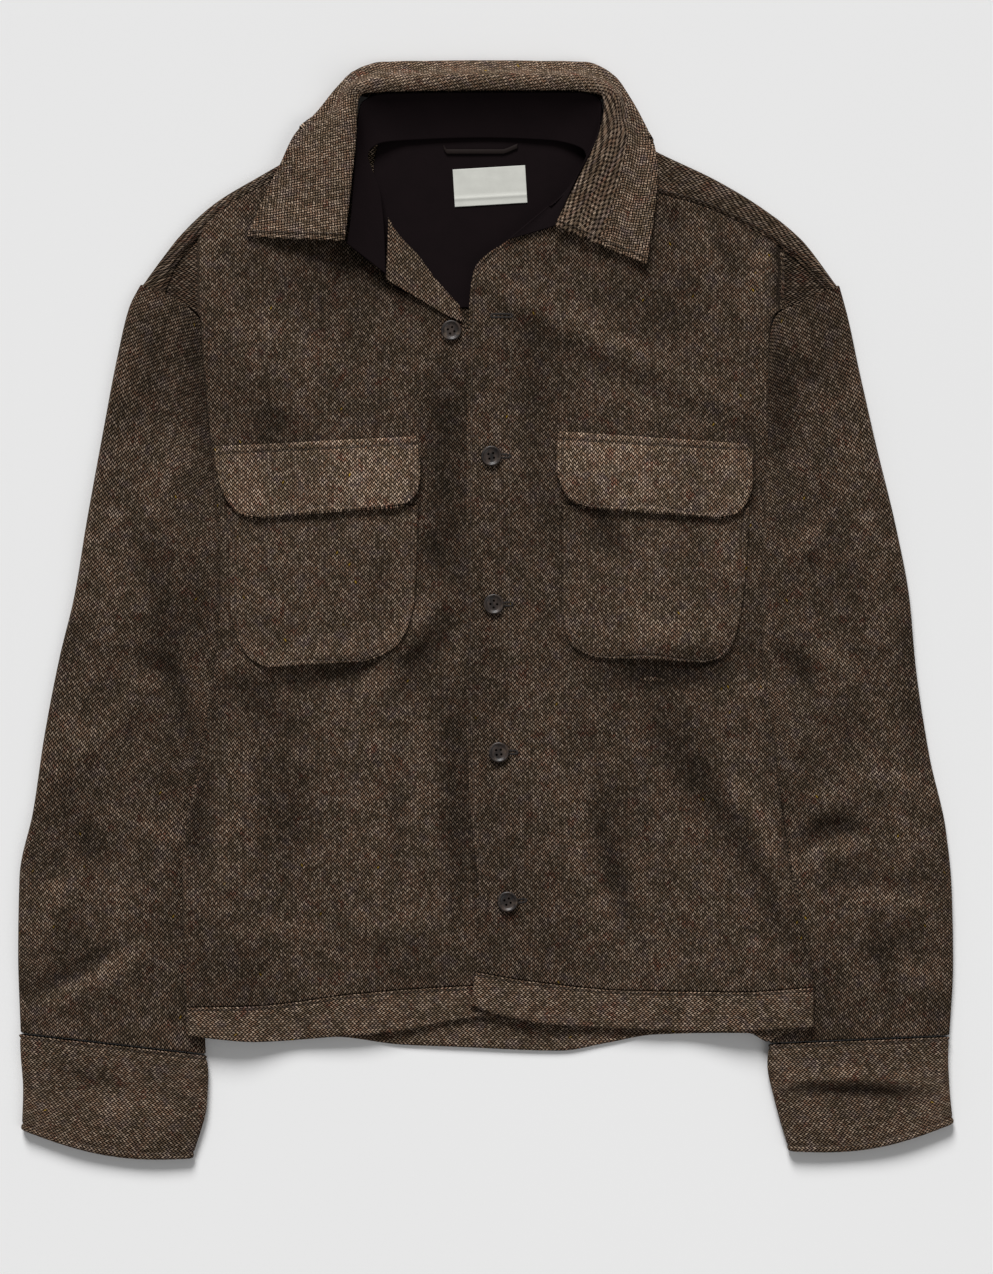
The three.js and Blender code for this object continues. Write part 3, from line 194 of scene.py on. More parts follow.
FINE_CUFF_RIGHT = (
    (-350, -362, -320, -372, -280, -380, -0.9, 8), (-300, -400, -270, -396, -244, -404, 0.8, 9),
)
LIFT_SIDE_RIGHT = (
    (-360, -208), (-272, -216), (-206, -220), (-142, -220), (-98, -218),
)
LIFT_SIDE_LEFT = (
    (-350, 210), (-284, 224), (-220, 230), (-160, 232),
)
FRONT_EDGE_X = (
    (-330, -12), (-240, -5), (-140, -13), (-40, -16), (110, -15), (257, -12), (276, -8), (295, 15),
)
NECK_SEAM = (
    (0, -112, 372), (0.12, -84, 376), (0.3, -44, 379), (0.5, -2, 380), (0.7, 46, 379), (0.88, 80, 372),
    (1, 110, 366),
)
LINING_EDGES = (
    (0, 376, -78, 76), (0.2, 352, -84, 80), (0.45, 320, -82, 62), (0.7, 286, -78, 24), (1, 244, -60, 2),
)
FACING_FOOT = (
    (0, -79, 266), (0.35, -53, 250.5), (0.7, -30, 236.8), (1, -17.5, 231.6),
)
FACING_HEAD = (
    (0, -77, 316), (0.2, -70, 304), (0.45, -54, 287), (0.7, -40, 268), (1, -20, 246),
)
STAND_STATIONS = (
    (0, -79, 270, 12.5, -110, 294, 15), (0.08, -80, 300, 12, -107, 312, 16),
    (0.16, -83, 334, 11.4, -104, 350, 17), (0.26, -93, 364, 11, -101, 386, 18),
    (0.34, -84, 374, 10.6, -98, 405, 18), (0.4, -62, 377, 7, -80, 413, 17.4),
    (0.52, -2, 379, 6.2, -2, 414, 17), (0.64, 52, 377, 7, 74, 414, 17.4),
    (0.72, 79, 368, 10.6, 92, 406, 18), (0.78, 82, 354, 11, 90, 386, 18),
    (0.86, 68, 338, 11.6, 79, 360, 17), (0.93, 46, 320, 14, 67, 333, 16.4), (1, 18, 297, 14.8, 56, 308, 16),
)
FALL_STATIONS = (
    (0, -111, 296, 19, -190, 300, 13, 0), (0.06, -108, 320, 20, -182, 318, 13, 0),
    (0.12, -105, 346, 21, -174, 336, 12.6, 0), (0.18, -102, 374, 22, -163, 359, 12, 0),
    (0.24, -101, 394, 22, -152, 382, 10, 0), (0.3, -100, 406, 22, -134, 400, 8, 4),
    (0.35, -97, 412, 22, -118, 420, 7.4, 14), (0.39, -88, 413, 21.4, -104, 433, 7, 26),
    (0.43, -68, 414, 21, -80, 440, 7, 36), (0.5, -2, 415, 20.6, -2, 441, 7, 42),
    (0.57, 64, 415, 21, 78, 440, 7, 36), (0.61, 84, 413, 21.4, 102, 430, 7, 26),
    (0.65, 93, 410, 22, 115, 413, 7.4, 14), (0.7, 94, 400, 22, 126, 393, 8, 4),
    (0.76, 91, 384, 22, 136, 371, 10, 0), (0.82, 84, 366, 22, 138, 353, 12, 0),
    (0.88, 76, 350, 21, 137, 334, 12.6, 0), (0.94, 66, 330, 20, 134, 310, 13, 0),
    (1, 55, 308, 19, 129, 278, 13.4, 0),
)
POCKET_RIGHT_ROWS = (
    (0, -206, 84, -53, 86), (0.3, -204, 42, -54, 44), (0.6, -203, 4, -56, 10), (0.75, -200, -14, -60, -8),
    (0.88, -193, -30, -68, -24), (0.96, -184, -39, -80, -33), (1, -174, -44, -96, -39),
)
POCKET_LEFT_ROWS = (
    (0, 62, 86, 211, 84), (0.3, 62, 42, 209, 42), (0.6, 62, 4, 205, 4), (0.75, 64, -14, 202, -12),
    (0.88, 69, -26, 196, -28), (0.96, 78, -32, 188, -36), (1, 92, -36, 174, -40),
)
FLAP_RIGHT_ROWS = (
    (0, -215, 133, -55, 141), (0.12, -215.5, 126, -53, 133), (0.45, -212, 104, -51, 112),
    (0.72, -205, 88, -53, 98), (0.9, -196, 79, -61, 88), (1, -180, 76, -76, 85),
)
FLAP_LEFT_ROWS = (
    (0, 59, 145, 209, 135), (0.12, 57.5, 138, 214, 127), (0.45, 56.5, 117, 214, 104),
    (0.72, 61, 100, 209, 88), (0.9, 68, 90, 201, 79), (1, 82, 84, 186, 76),
)
LOOP_LINE = (
    (0, -33, 374), (0.1, -30, 370.5), (0.9, 14, 370.5), (1, 26, 375),
)

# Finer creases than the CAD model's, in the same columns as its folds:
# (from x, from y, via x, via y, to x, to y, height, width)
FINE_RIGHT = (
    (-178, 158, -172, 150, -160, 146, -1.0, 12), (-212, 306, -200, 300, -186, 296, 0.9, 10),
    (-140, 320, -132, 296, -128, 268, 0.8, 14), (-88, 58, -80, 30, -84, 2, -0.7, 12),
    (-184, 30, -160, 22, -136, 28, -0.6, 11), (-44, -96, -46, -160, -40, -226, 0.8, 11),
    (-150, -150, -156, -200, -150, -250, -0.8, 14), (-200, -262, -170, -250, -140, -254, 0.8, 9),
    (-60, 190, -70, 160, -66, 140, 0.6, 11), (-30, 60, -50, 40, -74, 30, -0.7, 10),
    (-30, 218, -32, 106, -36, -22, -1.5, 15), (-216, -62, -224, -118, -232, -214, -1.6, 10),
    (-66, -96, -72, -150, -68, -232, -2.2, 11), (-94, -90, -96, -150, -96, -220, 1.0, 13),
    (-24, -70, -26, -150, -22, -240, -1.4, 14), (-148, 298, -84, 286, -40, 230, -1.8, 20),
    (-200, 222, -160, 206, -118, 190, 1.3, 26), (-208, -46, -140, -40, -70, -18, 1.1, 13),
    (-120, -110, -140, -170, -134, -250, 0.9, 22), (-54, -30, -84, -70, -102, -128, 1.2, 12),
)
FINE_LEFT = (
    (146, 327, 150, 312, 158, 300, -0.9, 10), (70, 76, 92, 56, 110, 40, -0.8, 9),
    (80, -70, 70, -120, 62, -190, -0.8, 13), (200, -60, 210, -66, 224, -66, 1.0, 8),
    (120, -180, 128, -230, 134, -276, 0.9, 12), (40, -120, 46, -170, 44, -230, -0.6, 12),
    (180, 60, 192, 40, 206, 30, 0.7, 10), (60, 330, 84, 300, 96, 262, 0.7, 12),
    (196, -262, 214, -270, 236, -270, 0.9, 9), (120, 200, 150, 190, 190, 186, -0.5, 12),
    (76, 98, 98, 66, 118, 42, -1.5, 9), (94, -42, 146, -48, 208, -34, -1.5, 13),
    (232, -182, 246, -226, 254, -268, -1.3, 10),
    (184, 302, 190, 286, 200, 268, -1.3, 7), (170, 304, 178, 290, 184, 268, 1.0, 8),
    (30, 236, 100, 176, 190, 146, 1.2, 16), (48, -60, 52, -130, 50, -240, 1.0, 20),
    (150, -150, 160, -200, 178, -262, 1.2, 16), (40, 230, 44, 150, 42, 60, -0.8, 13),
    (104, -20, 150, -22, 196, -14, 1.2, 16), (206, 220, 212, 160, 214, 80, -0.9, 10),
)
FINE_SLEEVE_RIGHT = (
    (-262, 226, -266, 196, -262, 160, -1.0, 12), (-240, 150, -232, 130, -228, 96, 1.0, 9),
    (-300, 60, -290, 20, -286, -20, 0.8, 14), (-248, -90, -262, -100, -280, -102, -1.0, 9),
    (-240, -190, -258, -176, -280, -170, 1.1, 11), (-330, -150, -316, -180, -312, -210, -1.0, 12),
    (-250, -250, -262, -276, -270, -306, -0.9, 12), (-330, -300, -344, -316, -352, -330, 1.0, 9),
    (-236, 234, -226, 190, -224, 118, -1.5, 11), (-252, -38, -238, -84, -230, -124, -1.7, 9),
    (-346, -148, -306, -120, -268, -70, -1.8, 10), (-366, -302, -322, -294, -280, -258, -2.2, 9),
    (-300, 140, -310, 80, -318, 10, 1.0, 17), (-264, 60, -262, 20, -258, -24, -1.1, 12),
    (-318, -36, -330, -90, -344, -120, 1.0, 16), (-300, -200, -296, -240, -300, -280, 1.1, 17),
)
FINE_SLEEVE_LEFT = (
    (268, 180, 262, 190, 254, 196, -1.0, 9), (300, 200, 300, 160, 306, 120, 0.8, 13),
    (250, -100, 262, -110, 276, -112, 1.2, 9), (266, -18, 280, -30, 300, -34, -1.0, 9),
    (250, -208, 262, -236, 266, -270, 1.3, 11), (326, -278, 340, -288, 350, -296, 1.0, 8),
    (272, -250, 270, -290, 268, -330, -1.0, 12), (340, -60, 336, -90, 346, -110, -0.9, 11),
    (252, 26, 266, 50, 282, 68, -1.5, 9), (232, -22, 248, -40, 266, -64, -1.9, 9),
    (248, -190, 276, -164, 304, -176, -2.6, 10), (290, -216, 330, -222, 358, -224, -1.4, 10),
    (334, 20, 338, -20, 342, -52, -1.2, 9), (236, 226, 238, 180, 236, 100, -1.5, 11),
    (290, 150, 300, 90, 312, 20, 1.1, 16), (300, -60, 316, -90, 332, -104, 1.0, 13),
    (252, -140, 268, -150, 286, -150, 1.4, 12), (310, -250, 322, -290, 326, -330, -0.9, 13),
)
FOLDS_COLLAR = (
    (-150, 300, -146, 330, -138, 360, -0.9, 11), (-120, 404, -112, 396, -106, 384, 0.9, 8),
    (112, 384, 116, 366, 118, 340, -0.9, 10), (84, 320, 100, 310, 120, 300, 0.8, 10),
)

# The horn button's section, (radius, height), from the middle of its underside to its dish
BUTTON_PROFILE = (
    (0.6, 0.0), (5.9, 0.0), (7.3, 0.5), (8.1, 1.3), (8.2, 2.0), (8.05, 2.6), (7.7, 3.05), (7.2, 3.2),
    (6.7, 3.05), (6.2, 2.65), (5.7, 2.15), (5.1, 1.9), (3.6, 1.82), (0.6, 1.82),
)
BUTTON_SIDES = 48
HOLE_RADIUS = 0.95
HOLE_REACH = 1.9

# Name, x, y, which front it lies on, and how far it is turned
BUTTONS = (
    ("button_1", -27.0, 225.4, "right", 0.5), ("button_2", 5.0, 125.0, "left", 0.2),
    ("button_3", 7.0, 7.0, "left", 0.75), ("button_4", 11.0, -111.0, "left", 0.1),
    ("button_5", 18.0, -230.0, "left", 0.4),
)

# Buttonholes: x, y, length, turn and the front each is cut in
BUTTONHOLES = (
    (13.3, 237.0, 17.0, 0.0, "left"), (10.5, 125.0, 19.0, 0.0, "left"), (12.5, 7.0, 19.0, 0.0, "left"),
    (16.5, -111.0, 19.0, 0.0, "left"), (23.5, -230.0, 19.0, 0.1, "left"),
)

STEP = 3.2
FOLD_STEPS = 10
GROOVE_DEPTH = 0.75
GROOVE_WIDTH = 0.9
EDGE_PUFF = 0.5
POCKET_STITCH = 4.4
FLAP_STITCH = 5.2
FLAP_HEAD_STITCH = 6.8
FLAP_LIFT = 1.8
COLLAR_STITCH = 5.4
FRONT_STITCH = 4.6
YOKE_STITCH = 4.2
HEM_STITCH = 3.2
CUFF_STITCH = 3.4
MOUTH_STITCH = 5.5
PLACKET_STITCH = 38.0
# Stitches: how far one may slant (radians), its share of the spacing, its width and the buttonholes' own (m)
STITCH_UNEVEN = 0.12
STITCH_SHARE = 0.72
STITCH_WIDTH = 0.0007
HOLE_STITCH_SPACING = 0.0006
HOLE_STITCH_LENGTH = 0.0019
HOLE_WIDTH = 2.6
LINING_SPREAD = 5.0
SEWING = []
FOLD_DEPTH = 2.1
# How far each piece runs over its cloth, in mm, by which its grid is spaced
FRONT_RUN, FRONT_REACH = 640, 250
BACK_RUN, BACK_REACH = 555, 470
HEM_RUN = 30
COLLAR_RUN, COLLAR_FALL_RUN, STAND_RUN = 620, 120, 38
SLEEVE_RUN, CUFF_RUN = 600, 80
POCKET_REACH, FLAP_REACH = (150, 125), (158, 58)
LINING_RUN, LINING_REACH = 132, 160
FACING_RUN, FACING_REACH = 46, 80
# Underside grids are coarser by this
PLAIN_STEP = 1.4 * STEP
# Where the yoke's back edge begins and ends below each shoulder, and below the neck
YOKE_BACK_RIGHT, YOKE_BACK_LEFT = (-104.0, -250.4), (100.0, 261.2)
YOKE_NECK_ENDS = (-120.0, 116.0)
YOKE_PUFF = 0.7
LABEL_PLACE = (4, 341)
LOOP_WIDTH, LOOP_CLOTH = 4, 1.2
# Stitches stop short of the collar's notch, the placket's crossing and the yoke's ends by these
FRONT_TRIM, PLACKET_TRIM, YOKE_TRIM, HEM_TRIM, SHORT_TRIM = 78, 150, 40, 2, 3
LEAF_ROWS = 50
SHOULDER_DROP = 1.6
# The folded-back shoulder corners: from x to x, from y to y
CORNER_RIGHT = (227.0, 230.5, 226, 238)
CORNER_LEFT = (233.0, 236.5, 224, 236)
# The valley along each corner's fold, a dip in the cloth that is also painted as shade: x, half width, depth
VALLEYS = ((-230, 5, 1.3), (236, 6, 1.6))
VALLEY_FROM, VALLEY_TO = 222, 238
CORNER_SHADE = 0.7
SEAM_OVERLAP = 3.2
WAVES = 9
ROLL_STEPS = 9
TUBE_UNDER = 26
TUBE_SIDE = 12
TUBE_TOP = 52
CREST_RISE = 2.4
CREST_OUT = 7.0
LABEL_WIDTH = 58.0
LABEL_LENGTH = 30.0
LABEL_TURN = 0.06
UNDERSIDE_RISE = 0.5

# The tweed's columns of slanted threads, in millimetres
WEAVE_ACROSS = 3.3
WEAVE_DOWN = 3.1
WEAVE_LEAN = 0.55
WEAVE_DRIFT = 1.4
WEAVE_FUZZ = 0.55
# How strongly the fold heights paint shade into the tweed's colour: darker in troughs, lighter on ridges
PAINTED_FOLD_SHADE_RANGE = 0.85
# Each tweed: its level against the fronts' and how far its weave is turned. The flaps' and collar's higher
# levels are painted light, for how these raised pieces catch the lamp; the pockets, hem and cuffs are set
# lighter as well.
TWEEDS = (
    ("Tweed body", 1.0, 0.0), ("Tweed sleeves", 0.99, 0.0), ("Tweed yoke", 1.04, math.pi / 2),
    ("Tweed flaps", 2.3, 0.0), ("Tweed pockets", 1.34, 0.0), ("Tweed hem", 1.6, math.pi / 2),
    ("Tweed collar", 1.95, 0.6), ("Tweed cuffs", 1.36, math.pi / 2),
)
SIDE_SHARE = 0.13

# Light: where each lamp stands (m) and how wide it looks (radians)
KEY_PLACE, KEY_ANGLE = (-0.6, 3.2, 2.0), 0.42
SIDE_PLACE, SIDE_ANGLE = (2.2, -1.9, 2.8), 0.7

CAMERA_X = 0.0092
CAMERA_Y = -0.0192
CAMERA_HEIGHT = 3.0


def rail(rows):
    """A smooth curve through rows of (t, values), which never passes its rows."""
    table = np.array(rows, float)
    t, values = table[:, 0], table[:, 1:]
    secant = np.diff(values, axis=0) / np.diff(t)[:, None]
    before, after = secant[:-1], secant[1:]
    same = before * after > 0
    total = np.where(same, before + after, 1.0)
    inner = np.where(same, 2 * before * after / total, 0.0)
    slope = np.vstack([secant[:1], inner, secant[-1:]])

    def at(s):
        s = np.asarray(s, float)
        k = np.clip(np.searchsorted(t, s, side="right") - 1, 0, len(t) - 2)
        span = (t[k + 1] - t[k])[..., None]
        f = np.clip((s - t[k])[..., None] / span, 0, 1)
        f2, f3 = f * f, f * f * f
        return (
            (2 * f3 - 3 * f2 + 1) * values[k]
            + (f3 - 2 * f2 + f) * span * slope[k]
            + (3 * f2 - 2 * f3) * values[k + 1]
            + (f3 - f2) * span * slope[k + 1]
        )

    return at


def smooth(x, low, high):
    s = np.clip((x - low) / (high - low), 0, 1)
    return s * s * (3 - 2 * s)


def mix(a, b, s):
    return a + (b - a) * s


def fold_field(rows):
    """The height that folds add at (x, y). Each fold is a soft ridge, or a trough where its height
    is below 0, along a bent line that fades out at both ends."""
    steps = np.linspace(0, 1, FOLD_STEPS + 1)[:, None]

    def height(x, y):
        total = np.zeros(np.broadcast(x, y).shape)
        for from_x, from_y, via_x, via_y, to_x, to_y, rise, width in rows:
            line = (
                (1 - steps) ** 2 * (from_x, from_y)
                + 2 * steps * (1 - steps) * (via_x, via_y)
                + steps**2 * (to_x, to_y)
            )
            nearest = np.full(total.shape, np.inf)
            along = np.zeros(total.shape)
            for i in range(FOLD_STEPS):
                (ax, ay), (bx, by) = line[i], line[i + 1]
                length2 = (bx - ax) ** 2 + (by - ay) ** 2
                s = np.clip(((x - ax) * (bx - ax) + (y - ay) * (by - ay)) / length2, 0, 1)
                gap = (ax + s * (bx - ax) - x) ** 2 + (ay + s * (by - ay) - y) ** 2
                closer = gap < nearest
                nearest = np.where(closer, gap, nearest)
                along = np.where(closer, (i + s) / FOLD_STEPS, along)
            taper = np.sqrt(np.sin(np.pi * np.clip(along, 0.04, 0.96)))
            total += FOLD_DEPTH * rise * taper * np.exp(-nearest / width**2)
        return total

    return height


def wobble(seed, depth, shortest, longest):
    """Low waves in random directions, as cloth keeps when it has been worn and laid down."""
    rng = np.random.default_rng(seed)
    angle = rng.uniform(0, math.tau, WAVES)
    number = math.tau / rng.uniform(shortest, longest, WAVES)
    phase = rng.uniform(0, math.tau, WAVES)

    def height(x, y):
        total = 0
        for a, k, p in zip(angle, number, phase):
            total = total + np.sin(k * (x * math.cos(a) + y * math.sin(a)) + p)
        return depth * total / math.sqrt(WAVES)

    return height


def body_lift(x, y):
    """The sides of the body ride up over the sleeves' inner folds near the hem."""
    side_right = LIFT_SIDE_RIGHT_AT(y)[..., 0]
    side_left = LIFT_SIDE_LEFT_AT(y)[..., 0]
    right = 1 - smooth(y, LIFT_RIGHT_FULL_Y, LIFT_RIGHT_FULL_Y + LIFT_RAMP)
    left = 1 - smooth(y, LIFT_LEFT_FULL_Y, LIFT_LEFT_FULL_Y + LIFT_RAMP)
    right = right * (1 - smooth(x, side_right, side_right + LIFT_EASE))
    left = left * smooth(x, side_left - LIFT_EASE, side_left)
    return SLEEVE_LIFT * (right + left)


def placket_raise(x, y):
    inward = x - FRONT_EDGE_AT(y)[..., 0]
    return PLACKET_RAISE * (1 - smooth(inward, PLACKET_WIDTH, PLACKET_WIDTH + PLACKET_EASE))


def shoulder_step(x, y):
    """Where the front folds back at the armhole and a corner of it lies lower: 1 there, 0 elsewhere."""
    total = 0
    for across, (near, far, low, high) in ((-x, CORNER_RIGHT), (x, CORNER_LEFT)):
        total = total + smooth(across, near, far) * smooth(y, low, high)
    return total


def step_shade(x, y):
    """A dip along the shoulder corners' folds: it lowers the cloth, and through the fold relief it is painted
    as shade in the colour.
    """
    valley = sum(np.exp(-(((x - middle) / half) ** 2)) * depth for middle, half, depth in VALLEYS)
    return (valley + CORNER_SHADE * shoulder_step(x, y)) * smooth(y, VALLEY_FROM, VALLEY_TO) * SHOULDER_DROP


def relief_right(x, y):
    return FOLDS_RIGHT_AT(x, y) + FINE_RIGHT_AT(x, y) + WOBBLE_RIGHT(x, y) - step_shade(x, y)


def relief_left(x, y):
    return FOLDS_LEFT_AT(x, y) + FINE_LEFT_AT(x, y) + WOBBLE_LEFT(x, y) - step_shade(x, y)


def top_right(x, y):
    under = smooth(x, FRONT_EDGE_AT(y)[..., 0] - 2, FRONT_EDGE_AT(y)[..., 0] + 12)
    return LAID_HEIGHT + body_lift(x, y) + relief_right(x, y) * (1 - under)


def top_left(x, y):
    return LAID_HEIGHT + body_lift(x, y) + placket_raise(x, y) + relief_left(x, y)


def within(inner, outer, head, foot):
    """Plan position inside four rails: inner and outer down the sides, head and foot across."""

    def place(u, v):
        u, v = np.broadcast_arrays(np.asarray(u, float), np.asarray(v, float))
        a, b, h, f = inner(v), outer(v), head(u), foot(u)
        u, v = u[..., None], v[..., None]
        first = h - (1 - u) * inner(0.0) - u * outer(0.0)
        last = f - (1 - u) * inner(1.0) - u * outer(1.0)
        return (1 - u) * a + u * b + (1 - v) * first + v * last

    return place


def between(head, foot):
    """Plan position between two rails that run the same way."""

    def place(u, v):
        u, v = np.broadcast_arrays(np.asarray(u, float), np.asarray(v, float))
        return mix(head(u), foot(u), v[..., None])

    return place


def spread(length, step):
    """Shares of a length, one step apart, and closer together at the ends, where the edge is round."""
    ends = np.array([0, 0.05, 0.18, 0.42, 0.75, 1.2, 1.9, 2.8, 3.7, 4.6, 5.5, 6.4, 7.3, 8.4, 9.8])
    ends = ends[ends < length / 3]
    middle = np.linspace(ends[-1], length - ends[-1], max(3, round(length / step)))
    return np.concatenate([ends[:-1], middle, (length - ends[:-1])[::-1]]) / length


def join(x, y, z):
    return np.stack(np.broadcast_arrays(x, y, z), axis=-1).astype(float)


def grid_normals(points, ring):
    across = np.roll(points, -1, axis=1) - np.roll(points, 1, axis=1)
    if not ring:
        across[:, 0] = points[:, 1] - points[:, 0]
        across[:, -1] = points[:, -1] - points[:, -2]
    along = np.gradient(points, axis=0)
    normal = np.cross(across, along)
    return normal / np.maximum(np.linalg.norm(normal, axis=2, keepdims=True), 1e-12)


def arc(points, axis):
    """Distance along the surface from the first point, along an axis of the grid."""
    steps = np.linalg.norm(np.diff(points, axis=axis), axis=2)
    start = np.zeros_like(np.take(steps, [0], axis=axis))
    return np.concatenate([start, np.cumsum(steps, axis=axis)], axis=axis)


def points_out(points, normals, ring, down, probe):
    """1 where the normals leave the garment, -1 where they enter it."""
    middle = len(points) // 2
    if ring:
        offset = points[middle] - points[middle].mean(axis=0)
        return np.sign((normals[middle] * offset).sum())
    z = normals[middle, points.shape[1] // 2 if probe is None else probe, 2]
    return -1.0 if (z > 0) == down else 1.0


def edge_round(points, ring, half):
    """Share of the full half-thickness at each point, which falls to 0 round the free edges."""
    along, across = arc(points, 0), arc(points, 1)
    gap = np.minimum(along, along[-1:] - along)
    if not ring:
        gap = np.minimum(gap, np.minimum(across, across[:, -1:] - across))
    near = np.clip(gap / half, 0, 1)
    return np.sqrt(1 - (1 - near) ** 2)


def edge_gaps(points, sides):
    """The distance over the cloth from the nearest of some sides of a grid."""
    along, across = arc(points, 0), arc(points, 1)
    every = {"head": along, "foot": along[-1:] - along, "start": across, "end": across[:, -1:] - across}
    return np.minimum.reduce([every[side] for side in sides])


def stitched(points, sides, offset, ring=False):
    """The outer grid with its edges full and a groove pulled in where a line of stitches runs."""
    normals = grid_normals(points, ring)
    normals *= points_out(points, normals, ring, False, None)
    gap = edge_gaps(points, sides)
    groove = GROOVE_DEPTH * np.exp(-(((gap - offset) / GROOVE_WIDTH) ** 2))
    puff = EDGE_PUFF * np.sin(math.pi * np.clip(gap / offset, 0, 1))
    wavy = 1 + 0.35 * np.sin(0.9 * points[..., 0] + 0.7 * points[..., 1])
    return points + normals * (puff * wavy - groove)[..., None]


def line_along(points, side, offset, trim=0.0):
    """The line on a grid at a distance from one of its sides, cut short by trim at both ends."""
    turned = points if side in ("start", "end") else points.swapaxes(0, 1)
    if side in ("end", "foot"):
        turned = turned[:, ::-1]
    run = arc(turned, 1)
    line = np.array([
        [np.interp(offset, run[i], row[:, axis]) for axis in range(3)] for i, row in enumerate(turned)
    ])
    length = arc(line[:, None], 0)[:, 0]
    return line[(length >= trim) & (length <= length[-1] - trim)]


def shell(name, outer, thickness, *, ring=False, down=False, probe=None, level=None, grain=None, relief=None):
    """A closed thin sheet or tube of cloth under the outer grid of points, rounded at its edges.

    grain gives the (u, v) of the outer grid, in millimetres along the cloth's weft and warp, and relief the
    height of its folds, which the tweed paints as shade: darker in troughs, lighter on ridges."""
    normals = grid_normals(outer, ring)
    if level is not None:
        normals[level, 2] = 0
        normals /= np.maximum(np.linalg.norm(normals, axis=2, keepdims=True), 1e-12)
    normals *= points_out(outer, normals, ring, down, probe)
    half = thickness / 2
    share = edge_round(outer, ring, half)[..., None]
    middle = outer - normals * half
    coords = np.concatenate([(middle + side * normals * half * share).reshape(-1, 3) for side in (1, -1)])
    coords[:, 2] = np.maximum(coords[:, 2], 0)
    rows, columns = outer.shape[:2]
    top = np.arange(rows * columns).reshape(rows, columns)
    bottom = np.where(share[..., 0] < 1e-6, top, top + rows * columns)
    weave = grain if grain is not None else outer[..., :2]
    if ring:
        girth = arc(outer, 1)[:, -1:] + np.linalg.norm(outer[:, :1] - outer[:, -1:], axis=2)
        top, bottom = (np.concatenate([a, a[:, :1]], axis=1) for a in (top, bottom))
        turned = weave[:, :1] + girth[..., None] * (1, 0)
        weave = np.concatenate([weave, turned], axis=1)
    corners = ((0, 0), (1, 0), (1, 1), (0, 1))
    part = lambda a, i, j: a[i : len(a) - 1 + i, j : a.shape[1] - 1 + j]
    faces = [
        np.stack([part(side, i, j) for i, j in corners], axis=-1).reshape(-1, 4) for side in (top, bottom)
    ]
    weaves = np.stack([part(weave, i, j) for i, j in corners], axis=-2).reshape(-1, 4, 2)
    heights = relief(outer[..., 0], outer[..., 1]) if relief else np.zeros((rows, columns))
    return mesh_object(name, coords, np.concatenate([faces[0], faces[1][:, ::-1]]),
                       np.concatenate([weaves, weaves[:, ::-1]]), np.tile(heights.ravel(), 2))


def mesh_object(name, coords, quads, grain, relief):
    """A smooth mesh object in metres, its normals turned outward, with the cloth's grain as its UV map."""
    mesh = bpy.data.meshes.new(name)
    used, packed = np.unique(quads, return_inverse=True)
    mesh.from_pydata((coords[used] * MM).tolist(), [], packed.reshape(quads.shape).tolist())
    layer = mesh.uv_layers.new(name="Grain")
    layer.data.foreach_set("uv", (grain.reshape(-1) * MM).astype(np.float32))
    # The fold heights, kept for the tweed, which paints them as shade: darker in troughs, lighter on ridges
    painted_fold_shade = mesh.attributes.new("Relief", "FLOAT", "POINT")
    painted_fold_shade.data.foreach_set("value", relief[used].astype(np.float32))
    turn_outward(mesh)
    mesh.polygons.foreach_set("use_smooth", [True] * len(mesh.polygons))
    mesh.update()
    obj = bpy.data.objects.new(name, mesh)
    bpy.context.scene.collection.objects.link(obj)
    return obj


def turn_outward(mesh):
    work = bmesh.new()
    work.from_mesh(mesh)
    bmesh.ops.recalc_face_normals(work, faces=work.faces)
    if work.calc_volume(signed=True) < 0:
        bmesh.ops.reverse_faces(work, faces=work.faces)
    work.to_mesh(mesh)
    work.free()


LIFT_SIDE_RIGHT_AT = rail(LIFT_SIDE_RIGHT)
LIFT_SIDE_LEFT_AT = rail(LIFT_SIDE_LEFT)
FRONT_EDGE_AT = rail(FRONT_EDGE_X)
FOLDS_RIGHT_AT, FOLDS_LEFT_AT, FINE_RIGHT_AT, FINE_LEFT_AT, FOLDS_COLLAR_AT = map(
    fold_field, (FOLDS_RIGHT, FOLDS_LEFT, FINE_RIGHT, FINE_LEFT, FOLDS_COLLAR)
)
# Waves of each piece: seed, depth, shortest and longest
WOBBLE_RIGHT, WOBBLE_LEFT, WOBBLE_BACK, WOBBLE_COLLAR, WOBBLE_SLEEVE = (
    wobble(*row)
    for row in ((3, 0.9, 60, 190), (5, 0.9, 60, 190), (8, 0.8, 90, 220), (11, 0.4, 40, 90), (13, 0.9, 50, 150))
)
NECK_SEAM_AT, LINING_AT, FACING_HEAD_AT, FACING_FOOT_AT, STAND_AT, FALL_AT, LOOP_AT = map(
    rail, (NECK_SEAM, LINING_EDGES, FACING_HEAD, FACING_FOOT, STAND_STATIONS, FALL_STATIONS, LOOP_LINE)
)
RIGHT_INNER, RIGHT_OUTER, RIGHT_SEAM, RIGHT_FOOT = map(
    rail, (INNER_EDGE_RIGHT, OUTER_EDGE_RIGHT, YOKE_SEAM_RIGHT, HEM_SEAM_RIGHT)
)
LEFT_INNER, LEFT_OUTER, LEFT_SEAM, LEFT_FOOT = map(
    rail, (INNER_EDGE_LEFT, OUTER_EDGE_LEFT, YOKE_SEAM_LEFT, HEM_SEAM_LEFT)
)


def front_points(rails, top):
    """A front: flat columns from its inner edge, then a quarter roll down to the side seam."""
    place = within(*rails)
    v = spread(FRONT_RUN, STEP)[:, None]
    a, b = place(0.0, v), place(1.0, v)
    roll = LAID_HEIGHT / 2
    share = 1 - roll / np.linalg.norm(b - a, axis=-1)
    return rolled(place, v, share, spread(FRONT_REACH, STEP), top, roll, smooth(v, 0.08, 0.12))


